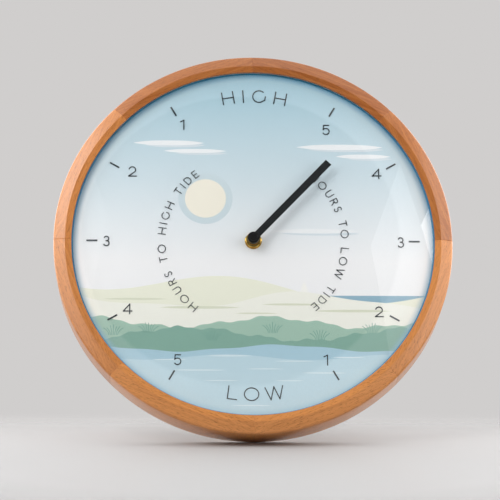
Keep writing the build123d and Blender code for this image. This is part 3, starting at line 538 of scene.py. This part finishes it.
def flat_ring(inner, outer, back, front):
    """Section of a flat ring as (r, y) corners."""
    return np.array([[inner, back], [outer, back], [outer, front], [inner, front]])


def band(x, low, high, front, back):
    """Carry an upright slip of ink along x, from height low(x) to high(x) on the dial, between two depths."""
    foot, top = columns(x, np.minimum(low, high)), columns(x, high)
    return slip(((foot, front), (top, front), (top, back), (foot, back)))


def stroke(path, width, front, back):
    """Carry a flat section along a line on the dial, its sides half a width off and mitred at the bends.

    An open line is first drawn out by half a width at both ends.
    """
    step = unit(np.diff(path, axis=0))
    if not np.allclose(path[0], path[-1]):
        path = np.concatenate([path[:1] - step[:1] * width / 2, path[1:-1], path[-1:] + step[-1:] * width / 2])
    before, after = np.concatenate([step[:1], step]), np.concatenate([step, step[-1:]])
    along = unit(before + after)
    mitre = np.clip(np.sum(along * after, axis=1, keepdims=True), 0.5, 1)
    side = columns(-along[:, 1], along[:, 0]) * (width / 2) / mitre
    return slip(((path + side, front), (path - side, front), (path - side, back), (path + side, back)))


class TIDE_OT_dial(bpy.types.Operator):
    """Make the printed dial sheet and its coast picture"""

    bl_idname = "tideclock.dial"
    bl_label = "Printed dial"

    def execute(self, context):
        self.sizes = context.scene.clock_sizes
        self.colours = context.scene.clock_colours
        self.layer = 0
        self.sheet()
        self.sky()
        self.shore()
        self.border()
        return {"FINISHED"}

    def next_depths(self):
        """Return the front and back depth of the next printed layer, its back let into the sheet."""
        self.layer += 1
        return PRINT_FRONT - self.layer * self.sizes.ink_step, PRINT_FRONT + INK_BED

    def sheet(self):
        """The sheet itself is a flat ring with the sky's wash from foot to top."""
        low, mid, top = self.colours.sky_low, self.colours.sky_mid, self.colours.sky_top
        edge = self.sizes.print_edge
        paper = printed("offset_printed_sky", ((0.0, low), (0.44, low), (0.68, mid), (0.97, top)), -edge, edge)
        profile = flat_ring(self.sizes.print_hole, STACK_RADIUS, PRINT_BACK, PRINT_FRONT)
        make_piece("dial_sheet", turned(profile, ROUND_STEPS), paper, ("dial_print",))

    def flat(self, name, code, shapes):
        """Print joined shapes in one even colour."""
        make_piece("printed_" + name, joined(shapes), one_colour("offset_printed_" + name, code))

    def streaks(self, name, code, places):
        """Print flat streaks whose half height is h (1 - |u|^3) over their half width.

        A place is the middle's x and z, the half width and the half height, in millimetres.
        """
        front, back = self.next_depths()
        share = np.linspace(-1, 1, STREAK_STEPS)
        shapes = []
        for x, z, half_width, half_height in places:
            half = half_height * MM * (1 - np.abs(share) ** 3)
            shapes.append(band((x + share * half_width) * MM, z * MM - half, z * MM + half, front, back))
        self.flat(name, code, shapes)

    def disc(self, name, code, radius, place):
        """Print a round disc: the turn of a flat section that starts on its axis."""
        front, back = self.next_depths()
        self.flat(name, code, [turned(flat_ring(0.0, radius, back, front), DISC_STEPS, place)])

    def sky(self):
        """A round sun in its haze, and thin clouds with a shaded foot."""
        colours = self.colours
        place = (-36 * MM, 34 * MM)
        self.disc("halo", colours.halo, 20.5 * MM, place)
        self.disc("sun", colours.sun, 15.5 * MM, place)
        clouds = np.array(
            [(-64, 79, 27, 2.0), (-44, 72.5, 24, 1.6), (66, 76, 33, 2.2), (84, 68.5, 21, 1.7), (46, 8, 34, 1.8)]
        )
        self.streaks("cloud_feet", colours.cloud_foot, clouds + (5, -1.9, -4, -0.3))
        self.streaks("clouds", colours.cloud, clouds)

    def below(self, name, code, deep, level, slope, *waves):
        """Fill the dial below a line, inside the printed circle, with a colour that fades to a deeper one.

        In millimetres the line is z = level + slope x + the sum of h sin(x / l + p) over waves (h, l, p).
        """
        edge = self.sizes.print_edge
        front, back = self.next_depths()
        x = edge * np.sin(np.linspace(-np.pi / 2, np.pi / 2, SHORE_STEPS))
        rim = np.sqrt(np.maximum(edge**2 - x**2, 0))
        line = level + slope * x / MM + sum(h * np.sin(x / MM / l + p) for h, l, p in waves)
        top = np.clip(line * MM, -rim, rim)
        wash = printed("offset_printed_" + name, ((0.0, deep), (1.0, code)), top.min() - WASH_FADE, top.max())
        make_piece("printed_" + name, band(x, -rim, top, front, back), wash)

    def shore(self):
        """Sea, dunes, marsh and shallows, laid one over the other from the horizon to the foot."""
        sea, dunes = self.colours.sea, (self.colours.dune_far, self.colours.dune_near)
        marsh = (self.colours.marsh_far, self.colours.marsh_near)
        far, mid, near = self.colours.water_far, self.colours.water_mid, self.colours.water_near
        self.below("sea", sea, dimmed(sea, 0.93), -43, 0)
        self.sail()
        self.below("far_dunes", dunes[0], dimmed(dunes[0], 0.96), -37, -0.055, (8, 31, 2.2))
        self.below("near_dunes", dunes[1], dimmed(dunes[1], 0.94), -47, -0.03, (7, 36, 0.3), (2, 15, 0))
        hollows = (
            (-88, -46, 24, 0.8), (-40, -52.5, 30, 1.0), (28, -50, 22, 0.8), (74, -55, 28, 1.0), (2, -57, 16, 0.6),
        )
        self.streaks("dune_hollows", self.colours.dune_shade, hollows)
        waves = ((4, 22, 1.0), (1.2, 6.5, 0), (0.5, 2.3, 0))
        self.below("far_marsh", marsh[0], dimmed(marsh[0], 0.9), -64, 0, *waves)
        waves = ((5, 27, 3.4), (1.1, 5.2, 0), (0.5, 1.9, 0))
        self.below("near_marsh", marsh[1], dimmed(marsh[1], 0.9), -73, 0, *waves)
        self.reeds()
        self.below("far_water", far, mid, -84, 0, (2.5, 24, 0.8), (0.5, 7, 0))
        self.below("middle_water", mid, near, -91, 0, (2.2, 19, 2.6))
        self.below("near_water", near, near, -102, 0, (2.0, 21, 4.4))
        ripples = (
            (-62, -93, 13, 0.4), (-18, -90, 17, 0.5), (30, -94, 15, 0.4), (70, -91, 12, 0.4), (-40, -101, 20, 0.5),
            (8, -100, 14, 0.4), (52, -103, 17, 0.5), (-24, -109, 13, 0.4), (26, -109, 11, 0.4), (-2, -128, 15, 0.4),
        )
        self.streaks("ripples", self.colours.ripple, ripples)

    def reeds(self):
        """Tufts of blades, each a bent line x = x0 + lean t^2 that rises by its height over t from 0 to 1."""
        front, back = self.next_depths()
        rise = np.linspace(0, 1, 7)
        shapes = []
        for foot_x, foot_z in ((-104, -74), (-78, -72), (-31, -78), (14, -72), (49, -77), (88, -72)):
            for blade in range(-3, 4):
                height = 7.5 - 0.8 * abs(blade) + 0.6 * math.sin(foot_x + 2.1 * blade)
                x = foot_x + 1.1 * blade + 1.3 * blade * rise**2
                path = columns(x, foot_z + height * rise) * MM
                shapes.append(stroke(path, 0.45 * MM, front, back))
        self.flat("reeds", self.colours.reed, shapes)

    def sail(self):
        """A small sail: a slip whose top rises to the mast and falls behind it, over a shallow hull."""
        front, back = self.next_depths()
        x = np.array([34.0, 38.0, 38.4, 41.5]) * MM
        top = np.array([-41.2, -31.0, -33.0, -41.2]) * MM
        hull_x = np.array([33.0, 34.6, 40.6, 42.0]) * MM
        hull_low = np.array([-41.6, -43.2, -43.2, -41.6]) * MM
        sail = band(x, -41.2 * MM, top, front, back)
        hull = band(hull_x, hull_low, -41.6 * MM, front, back)
        self.flat("sail", self.colours.sail, [sail, hull])

    def border(self):
        """A blue edge round the picture, most of it behind the frame's lip and set a little high so its band is
        wider at the top, darker towards the top: partly print, partly painted shade of the lip.
        """
        front, back = self.next_depths()
        # The border darkens from foot to top: painted shade of the lip over the printed blue.
        stops = ((0.0, self.colours.border_foot), (0.6, self.colours.border_foot), (1.0, self.colours.border_top_and_shade))
        blue = printed("offset_printed_border", stops, -WASH_REACH, WASH_REACH, 0.0)
        profile = flat_ring(self.sizes.border_inner, self.sizes.print_edge, back, front)
        shape = turned(profile, ROUND_STEPS, (0.0, self.sizes.border_rise))
        make_piece("printed_border", shape, blue)


def arc(x, z, radius, start, end, steps=17):
    """Points of an arc about (x, z), angles in degrees counter-clockwise from the right."""
    angle = np.radians(np.linspace(start, end, steps))
    return columns(x + radius * np.cos(angle), z + radius * np.sin(angle))


def run(*numbers):
    """Points of a straight run or a bent line, given as x, z, x, z and so on."""
    return np.array(numbers, dtype=float).reshape(-1, 2)


def bent(*runs):
    """Put runs and arcs together as one line."""
    return np.concatenate(runs)


# Letters and figures as strokes on a square of unit height, with each one's width
GLYPHS = {
    "1": (0.36, [run(0, 0.84, 0.34, 1), run(0.34, 0.98, 0.34, 0)]),
    "2": (0.78, [bent(arc(0.38, 0.67, 0.33, 160, -32), run(0.03, 0.02)), run(0.02, 0, 0.8, 0)]),
    "3": (0.74, [arc(0.36, 0.76, 0.24, 150, -90), arc(0.37, 0.27, 0.27, 95, -150)]),
    "4": (0.84, [run(0.62, 1, 0, 0.28), run(0, 0.28, 0.84, 0.28), run(0.62, 1, 0.62, 0)]),
    "5": (0.74, [run(0.66, 1, 0.15, 1), run(0.15, 1, 0.1, 0.53), arc(0.37, 0.33, 0.33, 140, -145, 25)]),
    "H": (0.88, [run(0, 0, 0, 1), run(0.88, 0, 0.88, 1), run(0, 0.5, 0.88, 0.5)]),
    "I": (0.04, [run(0.02, 0, 0.02, 1)]),
    "G": (1.0, [bent(arc(0.5, 0.5, 0.5, 50, 312, 29), run(0.97, 0.2, 1, 0.5))]),
    "L": (0.72, [run(0, 0, 0, 1), run(0, 0, 0.72, 0)]),
    "O": (1.1, [arc(0.5, 0.5, 0.5, 0, 360, 41) * (1.1, 1.0)]),
    "W": (1.36, [run(0, 1, 0.34, 0), run(0.34, 0, 0.68, 1), run(0.68, 1, 1.02, 0), run(1.02, 0, 1.36, 1)]),
    "U": (0.76, [bent(run(0, 1), arc(0.38, 0.38, 0.38, 180, 360), run(0.76, 1))]),
    "R": (
        0.62,
        [run(0, 0, 0, 1), bent(run(0, 1), arc(0.34, 0.75, 0.25, 90, -90), run(0, 0.5)), run(0.32, 0.5, 0.62, 0)],
    ),
    "S": (0.6, [bent(arc(0.3, 0.745, 0.245, 40, 270, 19)[:-1], arc(0.3, 0.25, 0.25, 90, -145, 19))]),
    "T": (0.7, [run(0, 1, 0.7, 1), run(0.35, 1, 0.35, 0)]),
    "D": (0.78, [run(0, 0, 0, 1), bent(run(0, 1), arc(0.28, 0.5, 0.5, 90, -90, 21), run(0, 0))]),
    "E": (0.58, [run(0, 0, 0, 1), run(0, 1, 0.58, 1), run(0, 0.5, 0.52, 0.5), run(0, 0, 0.58, 0)]),
    " ": (0.3, []),
}


class TIDE_OT_marks(bpy.types.Operator):
    """Make the ticks, numerals, words and legends of the dial"""

    bl_idname = "tideclock.marks"
    bl_label = "Dial marks"

    def execute(self, context):
        self.sizes = context.scene.clock_sizes
        self.ink = one_colour("offset_printed_ink", context.scene.clock_colours.ink)
        self.depths = (PRINT_FRONT - MARK_LAYER * self.sizes.ink_step, PRINT_FRONT + INK_BED)
        self.ticks()
        self.numerals()
        self.texts()
        return {"FINISHED"}

    def put(self, name, shapes):
        """Join the strokes of one marking into a piece."""
        make_piece(name, joined(shapes), self.ink)

    def ticks(self):
        """A radial slip at every twelfth of a turn but the top and the bottom."""
        shapes = []
        for k in (1, 2, 3, 4, 5, 7, 8, 9, 10, 11):
            out = np.array([np.sin(k * np.pi / 6), np.cos(k * np.pi / 6)])
            path = np.stack([out * self.sizes.tick_inner, out * self.sizes.tick_outer])
            shapes.append(stroke(path, self.sizes.tick_width, *self.depths))
        self.put("hour_ticks", shapes)

    def glyph(self, letter, x, z, clockwise, height, width):
        """Set a letter's strokes with its middle at a point on the dial, turned clockwise by an angle."""
        advance, lines = GLYPHS[letter]
        angle = np.radians(clockwise)
        turn = np.array([[np.cos(angle), -np.sin(angle)], [np.sin(angle), np.cos(angle)]])
        middle = np.array([advance / 2, 0.5])
        scale = height - width
        return [stroke((line - middle) * scale @ turn + (x, z), width, *self.depths) for line in lines]

    def numerals(self):
        """Hours that are left, upright, five down to one on each side."""
        places = (
            ("5", 55.9, 90.3), ("4", 94.0, 54.5), ("3", 110.9, -0.7), ("2", 93.4, -55.5), ("1", 53.2, -93.1),
            ("5", -56.4, -93.1), ("4", -93.6, -53.9), ("3", -110.2, -0.5), ("2", -91.4, 55.5), ("1", -53.8, 93.8),
        )
        shapes = []
        for figure, x, z in places:
            shapes += self.glyph(figure, x * MM, z * MM, 0, self.sizes.numeral_height, self.sizes.stroke)
        self.put("hour_numerals", shapes)

    def spread(self, text, radius, start, end, height, width, facing):
        """Set a text along an arc from one clockwise angle to another, turned by 0 (tops outward) or 180 degrees.

        Letters keep one gap between them: the arc that is left over is shared out evenly.
        """
        widths = np.array([GLYPHS[letter][0] for letter in text]) * (height - width) + width
        gap = (abs(math.radians(end - start)) * radius - widths.sum()) / (len(text) - 1)
        middles = np.cumsum(widths) - widths / 2 + gap * np.arange(len(text))
        angles = np.radians(start) + np.sign(end - start) * middles / radius
        shapes = []
        for letter, angle in zip(text, angles):
            x, z = radius * np.sin(angle), radius * np.cos(angle)
            shapes += self.glyph(letter, x, z, np.degrees(angle) + facing, height, width)
        return shapes

    def texts(self):
        """The two states of the tide, and along an inner circle what each half of the dial counts."""
        sizes = self.sizes
        word = (sizes.word_height, sizes.stroke)
        legend = (sizes.legend_height, sizes.legend_stroke)
        places = {
            "word_high": ("HIGH", 117.7 * MM, -11.5, 12.6, *word, 0),
            "word_low": ("LOW", 119.4 * MM, 189.4, 169.4, *word, 180),
            "legend_high": ("HOURS TO HIGH TIDE", sizes.legend_radius, -141.5, -37.9, *legend, 0),
            "legend_low": ("HOURS TO LOW TIDE", sizes.legend_radius, 40.0, 140.0, *legend, 0),
        }
        for name, place in places.items():
            self.put(name, self.spread(*place))


class TIDE_OT_hand(bpy.types.Operator):
    """Finish the hand, its cap and the brass behind them"""

    bl_idname = "tideclock.hand"
    bl_label = "Hand and hub"

    def execute(self, context):
        colours = context.scene.clock_colours
        # Aluminium strip with matt black stoving paint: a fine even tooth
        sockets = {"Roughness": 0.6, "Specular IOR Level": 0.1}
        finish(["hand"], "matt_black_paint", colours.hand, dimmed(colours.hand, 0.75), 0.6, sockets)
        # Black ABS, moulded: smooth with a low sheen
        sockets = {"Roughness": 0.38, "Specular IOR Level": 0.2}
        finish(["hand_cap"], "moulded_black_abs", colours.cap, dimmed(colours.cap, 0.7), 0.8, sockets, 0.01)
        # Free-cutting brass, turned and lightly lacquered: bright, with a fine tooling grain
        nodes, sockets = ["dial_nut", "dial_washer", "threaded_bush"], {"Metallic": 1.0, "Roughness": 0.26}
        finish(nodes, "turned_brass", colours.brass, dimmed(colours.brass, 0.72), 0.5, sockets, 0.01)
        return {"FINISHED"}


class TIDE_OT_back(bpy.types.Operator):
    """Finish the board, spacer, points, washer, hanger and contacts"""

    bl_idname = "tideclock.back"
    bl_label = "Back of the clock"

    def execute(self, context):
        brown = context.scene.clock_colours.hardboard
        # Hardboard: pressed wood fibre, brown and felted
        finish(["dial_board"], "pressed_hardboard", brown, dimmed(brown, 0.62), 2.5, {"Roughness": 0.78}, 0.06)
        steel_nodes = ("hanger_plate", "retaining_points", "clutch_washer", "plus_contact", "minus_contact")
        rows = (
            # Greyboard strip: pale, matt and slightly flecked
            (("spacer_ring",), "pale_greyboard", "d6d2c8", "bdb8ac", 1.2, {"Roughness": 0.85}, 0.03),
            # Mild steel strip, zinc plated: grey with a soft spangle
            (steel_nodes, "zinc_plated_steel", "b9bdc0", "8d9296", 3.0, {"Metallic": 1.0, "Roughness": 0.36}, 0.01),
            # Nitrile rubber, moulded: black and dull
            (("rubber_washer",), "black_nitrile_rubber", "1a1a1a", "111111", 0.9, {"Roughness": 0.72}, 0.03),
        )
        for nodes, name, light, dark, *rest in rows:
            finish(nodes, name, linear(light), linear(dark), *rest)
        return {"FINISHED"}


class TIDE_OT_movement(bpy.types.Operator):
    """Finish the quartz movement and its battery"""

    bl_idname = "tideclock.movement"
    bl_label = "Movement"

    def execute(self, context):
        # Black ABS with a spark-eroded mould finish: even, matt tooth
        nodes, black = ["front_case", "rear_cover", "setting_knob"], context.scene.clock_colours.case
        sockets = {"Roughness": 0.55, "IOR": 1.53}
        finish(nodes, "spark_finish_black_abs", black, dimmed(black, 0.7), 0.7, sockets, 0.05)
        wheels = ("tide_wheel", "fourth_wheel", "third_wheel", "second_wheel", "first_wheel", "rotor")
        train = (*wheels, "setting_arbor", "train_plate")
        iron, wire = {"Metallic": 1.0, "Roughness": 0.42}, {"Metallic": 1.0, "Roughness": 0.38}
        rows = (
            # Natural acetal: milky white and waxy
            (train, "natural_acetal", "e9e6dc", "d9d5c8", 1.5, {"Roughness": 0.42, "IOR": 1.48}, 0.01),
            # Sintered ferrite: dark grey and dull
            (("rotor_magnet",), "sintered_ferrite", "3b3c3f", "2c2d30", 0.6, {"Roughness": 0.5}),
            # Annealed silicon iron: grey sheet metal
            (("stator", "coil_core"), "annealed_iron", "8f8d89", "74726e", 1.5, iron, 0.01),
            # Enamelled copper wire in layers: fine bands along the coil, drawn coarser than life
            (("coil_winding",), "enamelled_copper_wire", "b5652f", "7d3d18", 0.3, wire, 0.05, (1, 20, 20)),
            # Glass epoxy board under solder mask: green, with a soft gloss
            (("circuit_board",), "solder_masked_epoxy", "2f5d3a", "244a2e", 1.2, {"Roughness": 0.4}),
            # Steel can, drawn and tinned: bright grey
            (("quartz_crystal",), "tinned_can", "c2c4c6", "a5a7aa", 1.0, {"Metallic": 1.0, "Roughness": 0.3}, 0.01),
            # Shrink sleeve over a steel can: plain and slightly glossy
            (("battery",), "plain_shrink_sleeve", "4b5a66", "414e59", 2.5, {"Roughness": 0.33, "IOR": 1.5}, 0.01),
        )
        for nodes, name, light, dark, *rest in rows:
            finish(nodes, name, linear(light), linear(dark), *rest)
        return {"FINISHED"}


class TIDE_OT_stage(bpy.types.Operator):
    """Set up the floor, backdrop, lamps and camera"""

    bl_idname = "tideclock.stage"
    bl_label = "Stage"

    def execute(self, context):
        context.scene.view_settings.view_transform = "Standard"
        self.floor(context.scene)
        self.backdrop(context.scene)
        for name, settings in LAMPS.items():
            self.lamp(context.scene, name, *settings)
        self.camera(context.scene)
        return {"FINISHED"}

    def place(self, scene, name, data, spot, *axes):
        """Put a lamp or camera at a spot, turned so that its own x, y and z lie along three axes."""
        item = bpy.data.objects.new(name, data)
        turn = Matrix(columns(*axes).tolist())
        item.matrix_world = Matrix.Translation(spot) @ turn.to_4x4()
        scene.collection.objects.link(item)
        return item

    def floor(self, scene):
        """A flat disc of (r, a) under the frame's lowest edge, which fades out with distance and behind the clock.

        Painted board, rolled flat: it shows from above only.
        """
        reach = np.linspace(0.0, 1.0, FLOOR_RINGS)[:, None] * FLOOR_REACH
        angle = np.linspace(0, 2 * np.pi, FLOOR_SPOKES, endpoint=False)[None, :]
        edge = scene.clock_sizes.back_round
        lowest = np.array([HUB_X, -edge, HUB_Z - FRAME_RADIUS + edge]) - (edge + FLOOR_GAP) * UP
        across, along = (reach * np.cos(angle))[..., None], (reach * np.sin(angle))[..., None]
        points = lowest + across * RIGHT + along * TOWARDS
        mesh = bpy.data.meshes.new("studio_floor")
        mesh.from_pydata(points.reshape(-1, 3), [], grid_faces(FLOOR_RINGS, FLOOR_SPOKES, False, True).tolist())
        sockets = {"Base Color": scene.clock_colours.floor, "Roughness": 0.55}
        material, tree, shader = begin("painted_studio_floor", sockets)
        place = add(tree, "TexCoord").outputs["Object"]
        ahead = add(tree, "VectorMath", {0: place, 1: tuple(TOWARDS)}, operation="DOT_PRODUCT").outputs["Value"]
        start, end = (float(lowest @ TOWARDS) + offset for offset in FLOOR_BEHIND)
        behind = {"Value": ahead, "From Min": start, "From Max": end}
        fade = add(tree, "MapRange", behind, interpolation_type="SMOOTHSTEP")
        apart = add(tree, "VectorMath", {0: place, 1: tuple(lowest)}, operation="DISTANCE").outputs["Value"]
        rim = add(tree, "MapRange", {"Value": apart, **FLOOR_FADE}, interpolation_type="SMOOTHSTEP")
        share = add(tree, "Math", {0: fade, 1: rim}, operation="MULTIPLY")
        under = add(tree, "NewGeometry").outputs["Backfacing"]
        upper = add(tree, "Math", {0: share, 1: under}, operation="SUBTRACT", use_clamp=True)
        blend = add(tree, "MixShader", {0: upper, 1: add(tree, "BsdfTransparent"), 2: shader})
        feed(tree, tree.nodes["Material Output"], {"Surface": blend})
        mesh.materials.append(material)
        floor = bpy.data.objects.new("studio_floor", mesh)
        scene.collection.objects.link(floor)

    def backdrop(self, scene):
        """The world shows the pale backdrop to the eye, to gloss and through glass.

        Gloss and glass also see a dark round opening in it, in front of the clock. Diffuse light comes from a
        bright room behind the clock and a dim one in front, with a lit sheet round the opening.
        """
        world = bpy.data.worlds.new("studio")
        scene.world = world
        world.use_nodes = True
        tree = world.node_tree
        path = add(tree, "LightPath").outputs
        seen = path["Is Camera Ray"]
        for ray in ("Is Glossy Ray", "Is Transmission Ray"):
            seen = add(tree, "Math", {0: seen, 1: path[ray]}, operation="MAXIMUM")
        place = add(tree, "TexCoord").outputs["Generated"]
        middle = math.cos(OPENING) * TOWARDS + math.sin(OPENING) * UP
        ahead, off_middle = (
            add(tree, "VectorMath", {0: place, 1: tuple(axis)}, operation="DOT_PRODUCT").outputs["Value"]
            for axis in (TOWARDS, middle)
        )
        room = add(tree, "MapRange", {"Value": ahead, **ROOM}, interpolation_type="SMOOTHSTEP")
        edges = []
        for start, end, dim, glow in OPENING_EDGES:
            start, end = math.cos(math.radians(start)), math.cos(math.radians(end))
            values = {"Value": off_middle, "From Min": start, "From Max": end, "To Min": dim, "To Max": glow}
            edges.append(add(tree, "MapRange", values, interpolation_type="SMOOTHSTEP"))
        inner, outer = edges
        sheet = add(tree, "Math", {0: inner, 1: outer, 2: room}, operation="MULTIPLY_ADD")
        plain = add(tree, "Math", {0: path["Is Camera Ray"], 1: inner}, operation="MAXIMUM")
        shown = add(tree, "Background", {"Color": scene.clock_colours.backdrop, "Strength": plain})
        lit = add(tree, "Background", {"Color": WHITE, "Strength": sheet})
        blend = add(tree, "MixShader", {0: seen, 1: lit, 2: shown})
        feed(tree, tree.nodes["World Output"], {"Surface": blend})

    def lamp(self, scene, name, place, facing, width, height, power):
        """Hang a soft panel of a tent: a lit ceiling, two lit side walls with dim wings, and a key on the left."""
        axes = np.stack([RIGHT, TOWARDS, UP])
        away = unit(-np.array(facing) @ axes)
        side = unit(np.cross(UP if abs(away @ UP) < 0.95 else -TOWARDS, away))
        data = bpy.data.lights.new(name, "AREA")
        data.shape = "RECTANGLE"
        data.size, data.size_y, data.energy = width, height, power
        spot = CENTRE + np.array(place) @ axes
        self.place(scene, name, data, spot.tolist(), side, np.cross(away, side), away)

    def camera(self, scene):
        """A long lens below the dial's axis, looking up at it, fitted to the photographed ring."""
        yaw, pitch, roll = (math.radians(turn) for turn in CAMERA_TURN)
        ahead = np.array([math.sin(yaw) * math.cos(pitch), math.cos(yaw) * math.cos(pitch), math.sin(pitch)])
        right = np.array([math.cos(yaw), -math.sin(yaw), 0.0])
        up = np.cross(right, ahead)
        right, up = right * math.cos(roll) + up * math.sin(roll), up * math.cos(roll) - right * math.sin(roll)
        data = bpy.data.cameras.new("studio_camera")
        data.sensor_fit = "HORIZONTAL"
        data.sensor_width, data.lens, data.clip_start = CAMERA_SENSOR, CAMERA_LENS, 0.05
        scene.camera = self.place(scene, "studio_camera", data, CAMERA_PLACE, right, up, -ahead)


OPERATORS = (
    TIDE_OT_frame, TIDE_OT_lens, TIDE_OT_dial, TIDE_OT_marks,
    TIDE_OT_hand, TIDE_OT_back, TIDE_OT_movement, TIDE_OT_stage,
)


class TIDE_PT_panel(bpy.types.Panel):
    """Lists the pieces of the clock in the sidebar"""

    bl_idname = "TIDE_PT_panel"
    bl_label = "Tide Clock"
    bl_space_type = "VIEW_3D"
    bl_region_type = "UI"
    bl_category = "Tide Clock"

    def draw(self, context):
        for operator in OPERATORS:
            self.layout.operator(operator.bl_idname)
        for group in (context.scene.clock_sizes, context.scene.clock_colours):
            box = self.layout.box()
            for key in group.__annotations__:
                box.prop(group, key)


CLASSES = (ClockSizes, ClockColours, *OPERATORS, TIDE_PT_panel)


def register():
    """Register the classes and hang the property groups on the scene."""
    for kind in CLASSES:
        bpy.utils.register_class(kind)
    bpy.types.Scene.clock_sizes = PointerProperty(type=ClockSizes)
    bpy.types.Scene.clock_colours = PointerProperty(type=ClockColours)


def unregister():
    """Take the property groups and classes away again."""
    del bpy.types.Scene.clock_colours
    del bpy.types.Scene.clock_sizes
    for kind in reversed(CLASSES):
        bpy.utils.unregister_class(kind)


def main():
    """Register the add-on and make every piece in order."""
    register()
    bpy.ops.tideclock.frame()
    bpy.ops.tideclock.lens()
    bpy.ops.tideclock.dial()
    bpy.ops.tideclock.marks()
    bpy.ops.tideclock.hand()
    bpy.ops.tideclock.back()
    bpy.ops.tideclock.movement()
    bpy.ops.tideclock.stage()


if __name__ == "__main__":
    main()
